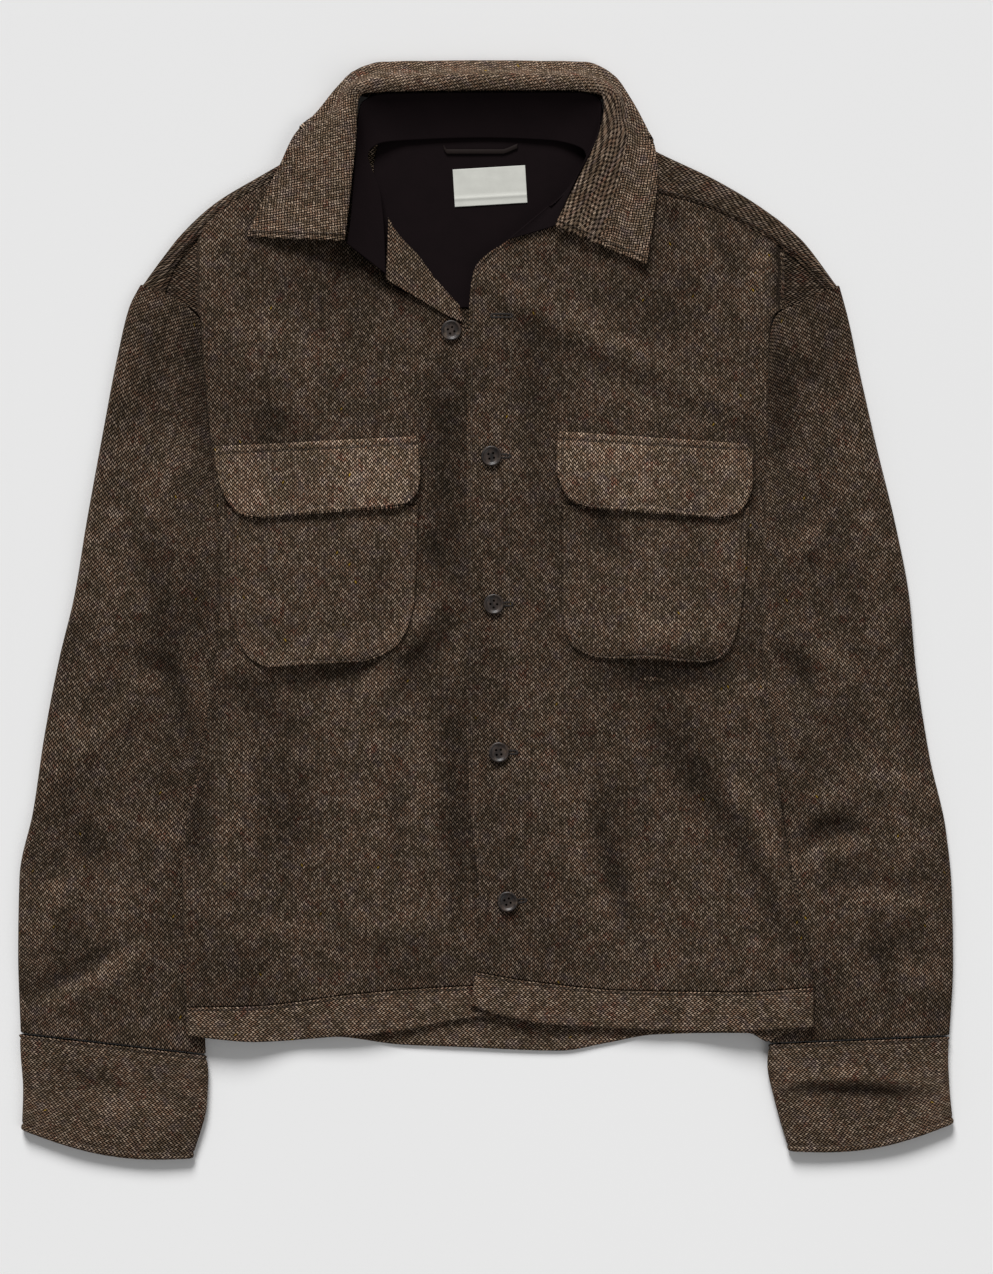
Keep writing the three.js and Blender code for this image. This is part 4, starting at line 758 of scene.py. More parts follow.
def hem_points(seam, foot, top):
    place = between(seam, foot)
    v = spread(HEM_RUN, STEP)[:, None]
    a, b = place(0.0, v), place(1.0, v)
    roll = HEM_HEIGHT / 2
    share = 1 - roll / np.linalg.norm(b - a, axis=-1)
    raised = lambda x, y: top(x, y) + HEM_HEIGHT - LAID_HEIGHT
    return rolled(place, v, share, spread(FRONT_REACH, STEP), raised, roll, np.ones_like(v))


def rolled(place, v, share, columns, top, roll, turned):
    """Flat columns up to a share of the width, then a quarter circle down to the side seam's height."""
    flat = columns[columns < 1 - roll / FRONT_REACH] / (1 - roll / FRONT_REACH)
    p = place(share * np.append(flat, 1.0), v)
    z = top(p[..., 0], p[..., 1])
    angle = np.linspace(0, math.pi / 2, ROLL_STEPS + 1)[1:]
    start, edge, high = p[:, -1:], place(1.0, v), z[:, -1:]
    reach = mix(angle / (math.pi / 2), np.sin(angle), turned)
    side = mix(start, edge, reach[..., None])
    seam = body_lift(edge[..., 0], edge[..., 1]) + LAID_HEIGHT / 2
    fall = mix(high, seam, (1 - np.cos(angle)) * turned)
    x = np.concatenate([p[..., 0], side[..., 0]], axis=1)
    y = np.concatenate([p[..., 1], side[..., 1]], axis=1)
    return join(x, y, np.concatenate([z, fall], axis=1)), turned[:, 0] > 0.5


def back_points(place, rows, roll, turned):
    """The back: flat on the floor between quarter rolls that rise to the side seams."""
    left, right = place(0.0, rows), place(1.0, rows)
    share = roll / (right - left)[..., 0]
    u = share + (1 - 2 * share) * spread(BACK_REACH, PLAIN_STEP)
    p = place(u, rows)
    z = body_lift(p[..., 0], p[..., 1]) + hollow(p[..., 0], p[..., 1])
    angle = np.linspace(0, math.pi / 2, ROLL_STEPS + 1)[1:]
    parts = [(p, z)]
    for edge, flat, high in ((left, p[:, :1], z[:, :1]), (right, p[:, -1:], z[:, -1:])):
        reach = mix(angle / (math.pi / 2), np.sin(angle), turned)
        seam = body_lift(edge[..., 0], edge[..., 1]) + LAID_HEIGHT / 2
        parts.append((mix(flat, edge, reach[..., None]), mix(high, seam, (1 - np.cos(angle)) * turned)))
    points = np.concatenate([parts[1][0][:, ::-1], parts[0][0], parts[2][0]], axis=1)
    heights = np.concatenate([parts[1][1][:, ::-1], parts[0][1], parts[2][1]], axis=1)
    return np.concatenate([points, heights[..., None]], axis=2)


def hollow(x, y):
    """Where the back lifts a little off the floor between the places it rests on."""
    return UNDERSIDE_RISE * np.clip(WOBBLE_BACK(x, y), 0, 1)


def ends_level(points, turned, both=False):
    level = np.zeros(points.shape[:2], bool)
    level[turned, -1] = True
    if both:
        level[turned, 0] = True
    return level


def grain_across(points, start):
    """Grain as seen from above, with the extra cloth of a rolled edge let out from a column on."""
    steps = np.diff(points, axis=1)
    extra = np.linalg.norm(steps, axis=2) - np.linalg.norm(steps[..., :2], axis=2)
    steep = np.abs(steps[..., 2]) > np.linalg.norm(steps[..., :2], axis=2)
    extra = np.where(steep, extra, 0) * np.sign(steps[..., 0])
    run = np.concatenate([np.zeros((len(points), 1)), np.cumsum(extra, axis=1)], axis=1)
    run = run - run[:, start : start + 1] + points[..., 0]
    return np.stack([run, points[..., 1]], axis=-1)


def yoke_strip_points(seam_rail, fold_rail, neck_x, arm_x, top):
    """A section at each station: up from the front seam, over the shoulder's fold and back below."""
    t = spread(200, STEP)
    roll = LAID_HEIGHT / 2
    seam, fold = seam_rail(t), fold_rail(t)
    out = fold - seam
    out /= np.linalg.norm(out, axis=1, keepdims=True)
    centre = fold - out * roll
    back = np.stack([mix(neck_x, arm_x, t), np.full_like(t, BACK_YOKE_Y)], axis=-1)
    s = np.linspace(0, 1, 14)[:, None]
    front_xy = mix(seam[:, None], centre[:, None], s)
    puff = YOKE_PUFF * np.sin(math.pi * s[:, 0]) + WOBBLE_LEFT(front_xy[..., 0], front_xy[..., 1])
    seam_z = top(seam[:, 0], seam[:, 1])[:, None]
    front_z = mix(seam_z, LAID_HEIGHT, s[:, 0]) + puff * np.sin(math.pi * s[:, 0])
    angle = np.linspace(0, math.pi, 13)[1:]
    roll_xy = centre[:, None] + out[:, None] * (roll * np.sin(angle))[:, None]
    roll_z = np.broadcast_to(roll + roll * np.cos(angle), roll_xy.shape[:2])
    under = np.linspace(0, 1, 24)[1:, None]
    back_xy = mix(centre[:, None], back[:, None], under)
    xy = np.concatenate([front_xy, roll_xy, back_xy], axis=1)
    z = np.concatenate([front_z, roll_z, np.zeros(back_xy.shape[:2])], axis=1)
    return np.concatenate([xy, z[..., None]], axis=2)


def yoke_middle_points():
    u, v = spread(230, PLAIN_STEP), spread(130, PLAIN_STEP)[:, None]
    neck = NECK_SEAM_AT(u)
    x = mix(neck[:, 0], mix(*YOKE_NECK_ENDS, u), v)
    y = mix(neck[:, 1], BACK_YOKE_Y, v)
    return join(x, y, 0.0)


def tube_points(rows, length, shift, folds, meets_body=False):
    """Rings of a flattened tube of cloth, from its head to its foot, each begun at the inner fold."""
    section = rail(rows)
    t = spread(length, STEP)[:, None]
    data = section(t)[:, 0]
    outer, inner, height = data[:, 0:2], data[:, 2:4], data[:, 4]
    radius = height / 2
    ease = SEAM_OVERLAP * (1 - smooth(t, 0.72, 0.8)) if meets_body else 0 * t
    inner = inner - ease * (outer - inner) / np.linalg.norm(outer - inner, axis=1, keepdims=True)
    span = np.linalg.norm(outer - inner, axis=1)
    across = (outer - inner) / span[:, None]
    flat = span - 2 * radius
    bottom = np.linspace(0, 1, TUBE_UNDER, endpoint=False)
    turn = np.linspace(0, math.pi, TUBE_SIDE, endpoint=False)
    top = np.linspace(0, 1, TUBE_TOP, endpoint=False)
    r, f, h = radius[:, None], flat[:, None], height[:, None]
    distance = np.concatenate(
        [r + f * bottom, r + f + r * np.sin(turn), r + f * (1 - top), r - r * np.sin(turn)], axis=1
    )
    z = np.concatenate(
        [0 * f * bottom, r * (1 - np.cos(turn)), h + 0 * top, r * (1 + np.cos(turn))], axis=1
    )
    s = distance / span[:, None]
    xy = inner[:, None] + across[:, None] * distance[..., None] + shift(t, s)
    weight = smooth(z, r, 1.9 * r)
    z = z + weight * folds(xy[..., 0], xy[..., 1])
    return np.concatenate([xy, z[..., None]], axis=2)


def grain_round(points):
    """Grain with the warp down a tube's middle, and the weft measured round it from the top's middle."""
    run = arc(points, 1)
    middle = TUBE_UNDER + TUBE_SIDE + TUBE_TOP // 2
    down = arc(points[:, middle : middle + 1], 0)
    return np.stack([run - run[:, middle : middle + 1], np.broadcast_to(down, run.shape)], axis=-1)


def armhole_shift(rows):
    """The head of a sleeve follows the armhole's seam, and straightens as it leaves it."""
    seam = rail(rows)

    def shift(t, s):
        line = mix(seam(0.0), seam(1.0), s[..., None])
        moved = seam(s) - line + (0.0, SEAM_OVERLAP)
        return (np.maximum(0, 1 - t / ARMHOLE_REACH))[..., None] * moved

    return shift


def cuff_shift(t, s):
    bow = -CUFF_BOW * t * t * np.sin(math.pi * s)
    return np.stack([np.zeros_like(bow), bow], axis=-1)


def patch_points(rows, top, thickness, size, lift=0.0):
    section = rail(rows)
    v, u = spread(size[1], STEP)[:, None], spread(size[0], STEP)
    row = section(v)
    x = mix(row[..., 0], row[..., 2], u)
    y = mix(row[..., 1], row[..., 3], u)
    return join(x, y, top(x, y) + thickness + lift)


def spline(points, count):
    """A round line through each row of control points, evenly spaced along its length."""
    n = points.shape[1]
    k = np.arange(n - 1)
    before = points[:, np.maximum(k - 1, 0)]
    after = points[:, np.minimum(k + 2, n - 1)]
    a, b = points[:, :-1], points[:, 1:]
    s = np.linspace(0, 1, 12, endpoint=False)[None, None, :, None]
    m0, m1 = (0.5 * (b - before))[:, :, None], (0.5 * (after - a))[:, :, None]
    reach = np.linalg.norm(b - a, axis=2)[:, :, None, None]
    m0 *= np.minimum(1, 1.2 * reach / np.maximum(np.linalg.norm(m0, axis=3, keepdims=True), 1e-9))
    m1 *= np.minimum(1, 1.2 * reach / np.maximum(np.linalg.norm(m1, axis=3, keepdims=True), 1e-9))
    a, b = a[:, :, None], b[:, :, None]
    fine = (2 * s**3 - 3 * s**2 + 1) * a + (s**3 - 2 * s**2 + s) * m0
    fine = fine + (3 * s**2 - 2 * s**3) * b + (s**3 - s**2) * m1
    fine = np.concatenate([fine.reshape(len(points), -1, 3), points[:, -1:]], axis=1)
    run = arc(fine, 1)
    ends = spread(COLLAR_FALL_RUN, COLLAR_FALL_RUN / count)
    out = [
        np.stack([np.interp(ends * run[i, -1], run[i], fine[i, :, axis]) for axis in range(3)], axis=-1)
        for i in range(len(points))
    ]
    return np.array(out)


def fall_points():
    """The collar's fall: at each station from the roll over the crest to the free edge. Behind the
    neck it turns under and lies below the stand."""
    t = spread(COLLAR_RUN, STEP)
    row = FALL_AT(t)
    roll, edge, under = row[:, 0:3], row[:, 3:6], row[:, 6:7]
    out = edge[:, :2] - roll[:, :2]
    reach = np.linalg.norm(out, axis=1, keepdims=True)
    out /= reach
    crest = roll[:, 2:3] + CREST_RISE
    turned = smooth(under, 0, 14)

    def point(distance, z):
        return np.concatenate([roll[:, :2] + out * distance, z], axis=1)

    def fallen(s):
        return mix(crest, edge[:, 2:3], smooth(s, 0.05, 0.8))

    curl = smooth(under, 0, 4)
    controls = [
        roll,
        point(0 * reach + CREST_OUT, crest),
        point(np.maximum(0.4 * reach, CREST_OUT + 0.3 * (reach - CREST_OUT)), fallen(0.4 - 0.2 * turned)),
        point(np.maximum(0.7 * reach, CREST_OUT + 0.6 * (reach - CREST_OUT)), fallen(0.7 - 0.2 * turned)),
        edge,
        point(reach - 1.2 * curl, edge[:, 2:3] * mix(1, 0.42, curl)),
        point(reach - 4 * curl, edge[:, 2:3] * (1 - curl)),
        point(reach - (4 + np.maximum(under, 1)) * curl, edge[:, 2:3] * (1 - curl)),
    ]
    points = spline(np.stack(controls, axis=1), 34)
    folds = FOLDS_COLLAR_AT(points[..., 0], points[..., 1]) + WOBBLE_COLLAR(points[..., 0], points[..., 1])
    points[..., 2] += folds * smooth(points[..., 2], 3, 8)
    return points


def stand_points():
    t, v = spread(COLLAR_RUN, STEP)[:, None], spread(STAND_RUN, 2.0)
    row = STAND_AT(t)
    foot, head = row[..., 0:3], row[..., 3:6]
    points = mix(head, foot, v[None, :, None])
    points[..., 2] -= 1.5 * np.sin(math.pi * v)
    return points.swapaxes(0, 1)


def lining_points():
    v, u = spread(LINING_RUN, STEP)[:, None], spread(LINING_REACH, STEP)
    row = LINING_AT(v)
    x = mix(row[..., 1] - LINING_SPREAD, row[..., 2] + LINING_SPREAD, u)
    z = CLOTH + SEAM_GAP + LINING_CLOTH + 0.25 * WOBBLE_COLLAR(x, row[..., 0] + 0 * x)
    return join(x, row[..., 0] + LINING_SPREAD * (1 - v) + 0 * x, z)


def facing_points():
    u, v = spread(FACING_REACH, STEP), spread(FACING_RUN, STEP)[:, None]
    head, foot = FACING_HEAD_AT(u), FACING_FOOT_AT(u)
    high = LAID_HEIGHT + SEAM_GAP + POCKET_CLOTH
    low = CLOTH + LINING_CLOTH + 2 * SEAM_GAP + POCKET_CLOTH
    x, y = mix(head[:, 0], foot[:, 0], v), mix(head[:, 1], foot[:, 1], v)
    return join(x, y, mix(high, low, (1 - v) ** 2))


def label_points():
    u, v = spread(LABEL_WIDTH, 1.6), spread(LABEL_LENGTH, 1.6)[:, None]
    x, y = (u - 0.5) * LABEL_WIDTH, (0.5 - v) * LABEL_LENGTH
    c, s = math.cos(LABEL_TURN), math.sin(LABEL_TURN)
    base = CLOTH + LINING_CLOTH + 2 * SEAM_GAP + LABEL_CLOTH
    rise = 0.5 * np.exp(-((y + 0.29 * LABEL_LENGTH) / 1.3) ** 2) + 0 * x
    return join(LABEL_PLACE[0] + c * x - s * y, LABEL_PLACE[1] + s * x + c * y, base + rise)


def loop_points():
    u, v = spread(60, 1.6), spread(LOOP_WIDTH, 0.5)[:, None]
    line = LOOP_AT(u)
    z = CLOTH + LINING_CLOTH + 2 * SEAM_GAP + LOOP_CLOTH + 0 * u
    z = z + 0.35 * np.sin(math.pi * v)
    return join(line[:, 0], line[:, 1] - LOOP_WIDTH * v, z)


def button_object(name, x, y, z, turn):
    """A horn button: a dished disc with a raised rim and four holes, turned on its stitches."""
    work = bmesh.new()
    rings = []
    for r, h in BUTTON_PROFILE:
        ring = []
        for i in range(BUTTON_SIDES):
            a = math.tau * i / BUTTON_SIDES
            ring.append(work.verts.new((r * math.cos(a), r * math.sin(a), h)))
        rings.append(ring)
    for lower, upper in zip(rings, rings[1:]):
        for i in range(BUTTON_SIDES):
            j = (i + 1) % BUTTON_SIDES
            work.faces.new((lower[i], lower[j], upper[j], upper[i]))
    work.faces.new(rings[0][::-1])
    work.faces.new(rings[-1])
    mesh = bpy.data.meshes.new(name)
    bmesh.ops.recalc_face_normals(work, faces=work.faces)
    work.to_mesh(mesh)
    work.free()
    disc = bpy.data.objects.new(name, mesh)
    bpy.context.scene.collection.objects.link(disc)
    holes = []
    for sx, sy in ((1, 1), (-1, 1), (-1, -1), (1, -1)):
        bpy.ops.mesh.primitive_cylinder_add(
            vertices=20, radius=HOLE_RADIUS, depth=12, location=(sx * HOLE_REACH, sy * HOLE_REACH, 1)
        )
        holes.append(bpy.context.object)
    for hole in holes:
        cut = disc.modifiers.new("Hole", "BOOLEAN")
        cut.operation = "DIFFERENCE"
        cut.object = hole
        cut.solver = "EXACT"
    applied(disc)
    for hole in holes:
        bpy.data.objects.remove(hole)
    c, s = math.cos(turn), math.sin(turn)
    for vertex in disc.data.vertices:
        px, py, pz = vertex.co
        vertex.co = ((c * px - s * py + x) * MM, (s * px + c * py + y) * MM, (pz + z) * MM)
    disc.data.polygons.foreach_set("use_smooth", [True] * len(disc.data.polygons))
    disc.data.set_sharp_from_angle(angle=math.radians(50))
    return disc


def applied(obj):
    """Replaces an object's mesh with the one its modifiers give, and takes the modifiers off."""
    evaluated = obj.evaluated_get(bpy.context.evaluated_depsgraph_get())
    mesh = bpy.data.meshes.new_from_object(evaluated)
    obj.modifiers.clear()
    old = obj.data
    obj.data = mesh
    mesh.name = obj.name
    bpy.data.meshes.remove(old)
    return obj


class Value:
    """A shader socket that takes part in Python expressions and adds the nodes they need."""

    def __init__(self, tree, socket):
        self.tree, self.socket = tree, socket

    def math(self, operation, *terms):
        node = self.tree.nodes.new("ShaderNodeMath")
        node.operation = operation
        return self.fill(node, terms)

    def vector(self, operation, *terms):
        node = self.tree.nodes.new("ShaderNodeVectorMath")
        node.operation = operation
        return self.fill(node, terms)

    def scaled(self, factor):
        node = self.tree.nodes.new("ShaderNodeVectorMath")
        node.operation = "SCALE"
        self.feed(node.inputs[0], self)
        self.feed(node.inputs["Scale"], factor)
        return Value(self.tree, node.outputs[0])

    def fill(self, node, terms):
        for socket, term in zip(node.inputs, terms):
            self.feed(socket, term)
        return Value(self.tree, node.outputs[0])

    def feed(self, socket, term):
        if isinstance(term, Value):
            self.tree.links.new(term.socket, socket)
        else:
            socket.default_value = term

    def node(self, kind, output=0, settings=None, **inputs):
        """Any other node: its settings by property, its inputs by name with _ for a space."""
        node = self.tree.nodes.new(kind)
        for name, value in (settings or {}).items():
            setattr(node, name, value)
        for name, term in inputs.items():
            self.feed(node.inputs[name.replace("_", " ")], term)
        return Value(self.tree, node.outputs[output])

    def __add__(self, other):
        return self.math("ADD", self, other)

    def __radd__(self, other):
        return self.math("ADD", other, self)

    def __sub__(self, other):
        return self.math("SUBTRACT", self, other)

    def __rsub__(self, other):
        return self.math("SUBTRACT", other, self)

    def __mul__(self, other):
        return self.math("MULTIPLY", self, other)

    def __rmul__(self, other):
        return self.math("MULTIPLY", other, self)

    def __truediv__(self, other):
        return self.math("DIVIDE", self, other)

    def __mod__(self, other):
        return self.math("FLOORED_MODULO", self, other)

    def floor(self):
        return self.math("FLOOR", self)

    def fraction(self):
        return self.math("FRACT", self)

    def absolute(self):
        return self.math("ABSOLUTE", self)

    def sine(self):
        return self.math("SINE", self)

    def step(self, low, high):
        """0 below low and 1 above high, or the other way round if low is the larger."""
        falls = high < low
        edges = {"From_Min": min(low, high), "From_Max": max(low, high)}
        targets = {"To_Min": 1.0, "To_Max": 0.0} if falls else {"To_Min": 0.0, "To_Max": 1.0}
        settings = {"interpolation_type": "SMOOTHSTEP"}
        return self.node("ShaderNodeMapRange", 0, settings, Value=self, **edges, **targets)

    def tint(self, first, second):
        """The colour between two, at this value as the share."""
        node = self.tree.nodes.new("ShaderNodeMix")
        node.data_type = "RGBA"
        self.feed(node.inputs[0], self)
        for socket, term in ((node.inputs[6], first), (node.inputs[7], second)):
            self.feed(socket, term)
        return Value(self.tree, node.outputs[2])

    def noise(self, scale, detail=2.0, roughness=0.5, output=0):
        return self.node("ShaderNodeTexNoise", output, None, Vector=self, Scale=scale, Detail=detail,
                         Roughness=roughness)

    def parts(self):
        node = self.tree.nodes.new("ShaderNodeSeparateXYZ")
        self.feed(node.inputs[0], self)
        return [Value(self.tree, socket) for socket in node.outputs]

    def together(self, x, y, z=0.0):
        return self.node("ShaderNodeCombineXYZ", 0, None, X=x, Y=y, Z=z)


def colour(text, strength=1.0):
    """A linear colour from six sRGB digits."""
    levels = [int(text[i : i + 2], 16) / 255 for i in (0, 2, 4)]
    linear = [((c + 0.055) / 1.055) ** 2.4 if c > 0.04045 else c / 12.92 for c in levels]
    return (*(c * strength for c in linear), 1.0)


def new_material(name):
    material = bpy.data.materials.new(name)
    material.use_nodes = True
    tree = material.node_tree
    shader = tree.nodes["Principled BSDF"]
    return material, tree, shader


def grain_of(tree):
    """The cloth's own coordinates, in millimetres along its weft and warp."""
    node = tree.nodes.new("ShaderNodeUVMap")
    node.uv_map = "Grain"
    return Value(tree, node.outputs[0]).scaled(1 / MM)


def tweed(name, shade, turn):
    """Brushed wool tweed: slanted light threads in columns that lean in turn, on a near-black ground,
    in soft patches of rust, olive and mauve."""
    material, tree, shader = new_material(name)
    grain = grain_of(tree)
    place = grain.node("ShaderNodeMapping", 0, None, Vector=grain, Rotation=(0, 0, turn))
    drift = place.noise(0.16, 2.0, 0.6, output=1)
    fuzz = place.noise(1.7, 3.0, 0.7, output=1)
    centre = (0.5, 0.5, 0.5)
    bent = place.vector("ADD", place, drift.vector("SUBTRACT", drift, centre).scaled(WEAVE_DRIFT))
    fuzz = fuzz.vector("SUBTRACT", fuzz, centre).scaled(WEAVE_FUZZ)
    u, v, _ = bent.vector("ADD", bent, fuzz).parts()

    run = u * (2 / WEAVE_ACROSS)
    column = run.floor()
    parity = column % 2.0
    lean = (run.fraction() - 0.5) * (parity * 2.0 - 1.0) * WEAVE_LEAN
    strand = v * (1 / WEAVE_DOWN) + lean + parity * 0.5
    cell = strand.floor()
    key = strand.together(column, cell)
    white = key.node("ShaderNodeTexWhiteNoise", 0, {"noise_dimensions": "3D"}, Vector=key)
    tone = key.node("ShaderNodeTexWhiteNoise", 1, {"noise_dimensions": "3D"}, Vector=key)
    other, pick, third = tone.parts()

    core = (strand.fraction() - 0.5).absolute().step(0.31, 0.18)
    side = (run.fraction() - 0.5).absolute().step(0.51, 0.29)
    dash = core * side * (white * 0.8 + 0.5)

    patch = place.noise(0.045, 3.0, 0.55)
    patch_two = place.vector("ADD", place, (310.0, 170.0, 0.0)).noise(0.07, 3.0, 0.6)
    patch_three = place.vector("ADD", place, (-90.0, 620.0, 0.0)).noise(0.06, 3.0, 0.6)
    wool = patch.step(0.42, 0.62).tint(colour("7a6753"), colour("8a6f5b"))
    wool = patch_two.step(0.5, 0.68).tint(wool, colour("7c6a62"))
    wool = patch_three.step(0.56, 0.7).tint(wool, colour("7c5646"))
    thread = (pick.step(0.3, 1.0) * 0.6).tint(wool, colour("c4ad97"))
    thread = (third.step(0.9, 0.97) * 0.25).tint(thread, colour("8b5a3e"))
    fleck = key.node("ShaderNodeTexWhiteNoise", 0, {"noise_dimensions": "4D"}, Vector=key, W=3.0)
    fleck = fleck.step(0.9985, 0.9992)
    thread = fleck.tint(thread, colour("a8873a"))
    hair = place.noise(2.6, 2.0, 0.8)
    ground = hair.step(0.3, 0.8).tint(colour("0a0604"), colour("1e1610"))
    cloth = dash.tint(ground, thread)
    # shade sets each copy's level; the flaps' and collar's high shades are painted light
    level = (patch_two * 0.5 + patch * 0.5).step(0.35, 0.68) * 0.26 + (0.62 * shade)
    # Painted shade: the fold heights make the colour darker in troughs and lighter on ridges
    painted_fold_shade = place.node("ShaderNodeAttribute", 2, {"attribute_name": "Relief"})
    level = level * (painted_fold_shade.step(-5.5, 3.5) * PAINTED_FOLD_SHADE_RANGE + 0.35)
    final = cloth.scaled(level)
    tree.links.new(final.socket, shader.inputs["Base Color"])

    relief = dash * 0.7 + hair * 0.3
    bump = relief.node("ShaderNodeBump", 0, None, Height=relief, Strength=0.75, Distance=0.0009)
    tree.links.new(bump.socket, shader.inputs["Normal"])
    shader.inputs["Roughness"].default_value = 0.95
    shader.inputs["Specular IOR Level"].default_value = 0.05
    shader.inputs["Sheen Weight"].default_value = 0.03
    shader.inputs["Sheen Roughness"].default_value = 0.6
    shader.inputs["Sheen Tint"].default_value = colour("c9b7a4")
    return material


def twill(name, dark, light, pitch, gloss):
    """A fine twill or ribbon weave: close slanted ribs."""
    material, tree, shader = new_material(name)
    place = grain_of(tree)
    u, v, _ = place.parts()
    rib = ((u + v) * (math.tau / pitch)).sine() * 0.5 + 0.5
    cloud = place.noise(0.05, 4.0, 0.6)
    share = rib * 0.55 + cloud * 0.45
    tint = share.tint(dark, light)
    tree.links.new(tint.socket, shader.inputs["Base Color"])
    bump = rib.node("ShaderNodeBump", 0, None, Height=rib, Strength=0.35, Distance=0.0002)
    tree.links.new(bump.socket, shader.inputs["Normal"])
    shader.inputs["Roughness"].default_value = gloss
    shader.inputs["Specular IOR Level"].default_value = 0.06
    return material


def ribbon(name):
    """The label's cream ribbon: fine ribs across, and a little unevenness."""
    material, tree, shader = new_material(name)
    place = grain_of(tree)
    u, v, _ = place.parts()
    weft = (v * (math.tau / 0.9)).sine() * 0.5 + 0.5
    warp = (u * (math.tau / 0.7)).sine() * 0.5 + 0.5
    cloud = place.noise(0.09, 3.0, 0.6)
    share = weft * 0.3 + warp * 0.15 + cloud * 0.55
    tint = share.tint(colour("b9b9b2"), colour("dcdcd4"))
    tree.links.new(tint.socket, shader.inputs["Base Color"])
    relief = weft * 0.6 + warp * 0.4
    bump = relief.node("ShaderNodeBump", 0, None, Height=relief, Strength=0.4, Distance=0.00015)
    tree.links.new(bump.socket, shader.inputs["Normal"])
    shader.inputs["Roughness"].default_value = 0.6
    return material


def horn(name):
    """Dark horn: brown-grey clouds and streaks under a worn polish."""
    material, tree, shader = new_material(name)
    at = tree.nodes.new("ShaderNodeTexCoord")
    place = Value(tree, at.outputs["Object"])
    stretched = place.vector("MULTIPLY", place, (260.0, 90.0, 260.0))
    streak = stretched.noise(1.0, 4.0, 0.65)
    cloud = place.noise(140.0, 3.0, 0.6)
    tint = streak.step(0.35, 0.7).tint(colour("191412"), colour("3f332c"))
    tint = cloud.step(0.55, 0.8).tint(tint, colour("574a3e"))
    tree.links.new(tint.socket, shader.inputs["Base Color"])
    rough = cloud * 0.25 + 0.3
    tree.links.new(rough.socket, shader.inputs["Roughness"])
    fine = place.noise(900.0, 2.0, 0.5)
    bump = fine.node("ShaderNodeBump", 0, None, Height=fine, Strength=0.2, Distance=0.0002)
    tree.links.new(bump.socket, shader.inputs["Normal"])
    return material


def thread(name, text):
    """Twisted sewing thread."""
    material, tree, shader = new_material(name)
    at = tree.nodes.new("ShaderNodeTexCoord")
    place = Value(tree, at.outputs["Object"])
    x, y, z = place.parts()
    twist = ((x + y + z) * (math.tau / 0.0005)).sine() * 0.5 + 0.5
    tint = twist.tint(colour(text, 0.55), colour(text, 1.2))
    tree.links.new(tint.socket, shader.inputs["Base Color"])
    bump = twist.node("ShaderNodeBump", 0, None, Height=twist, Strength=0.5, Distance=0.0001)
    tree.links.new(bump.socket, shader.inputs["Normal"])
    shader.inputs["Roughness"].default_value = 0.7
    return material


def paper(name):
    """The pale floor: matt, with the faintest unevenness."""
    material, tree, shader = new_material(name)
    at = tree.nodes.new("ShaderNodeTexCoord")
    place = Value(tree, at.outputs["Object"])
    cloud = place.noise(1.3, 2.0, 0.5)
    tint = cloud.tint(colour("ececec"), colour("f0f0f0"))
    tree.links.new(tint.socket, shader.inputs["Base Color"])
    shader.inputs["Roughness"].default_value = 0.9
    shader.inputs["Specular IOR Level"].default_value = 0.1
    return material


def finished(obj, node, material, cut, area=None):
    """Gives a made piece its material and its place on the frame; what it is cut to, cut, is not used."""
    obj.data.materials.clear()
    obj.data.materials.append(material)
    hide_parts(node)
    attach(obj, "root")
    return obj


def made(name):
    """A material that an earlier operator has made, or a plain message that it is missing."""
    material = bpy.data.materials.get(name)
    if material is None:
        raise RuntimeError(f"{name} is missing: run the materials operator first")
    return material


class ShacketSettings(bpy.types.PropertyGroup):
    """What a user may change before the shacket is built."""

    stitch_length: bpy.props.FloatProperty(
        name="Stitch length", description="From one stitch to the next", default=0.0042,
        min=0.001, unit="LENGTH", subtype="DISTANCE",
    )
    key_power: bpy.props.FloatProperty(
        name="Key light", description="Strength of the low light beyond the collar", default=3.75,
        min=0.0, soft_max=10.0, subtype="FACTOR",
    )
    fill_strength: bpy.props.FloatProperty(
        name="Fill light", description="Strength of the even light from all round", default=0.2,
        min=0.0, subtype="FACTOR",
    )
    frame_height: bpy.props.FloatProperty(
        name="Frame height", description="Height of the floor that the picture covers", default=1.0192,
        min=0.1, unit="LENGTH", subtype="DISTANCE",
    )


class SHACKET_OT_materials(bpy.types.Operator):
    """Makes the tweed, lining, ribbon, horn and thread"""

    bl_idname = "shacket.materials"
    bl_label = "Make materials"

    def execute(self, context):
        for name, shade, turn in TWEEDS:
            tweed(name, shade, turn)
        twill("Lining", colour("0b0708"), colour("1a1113"), 1.1, 0.8)
        twill("Loop", colour("14100f"), colour("2a2220"), 0.9, 0.6)
        ribbon("Ribbon")
        horn("Horn")
        thread("Thread", "4e4137")
        thread("Buttonhole thread", "241d19")
        paper("Floor")
        return {"FINISHED"}


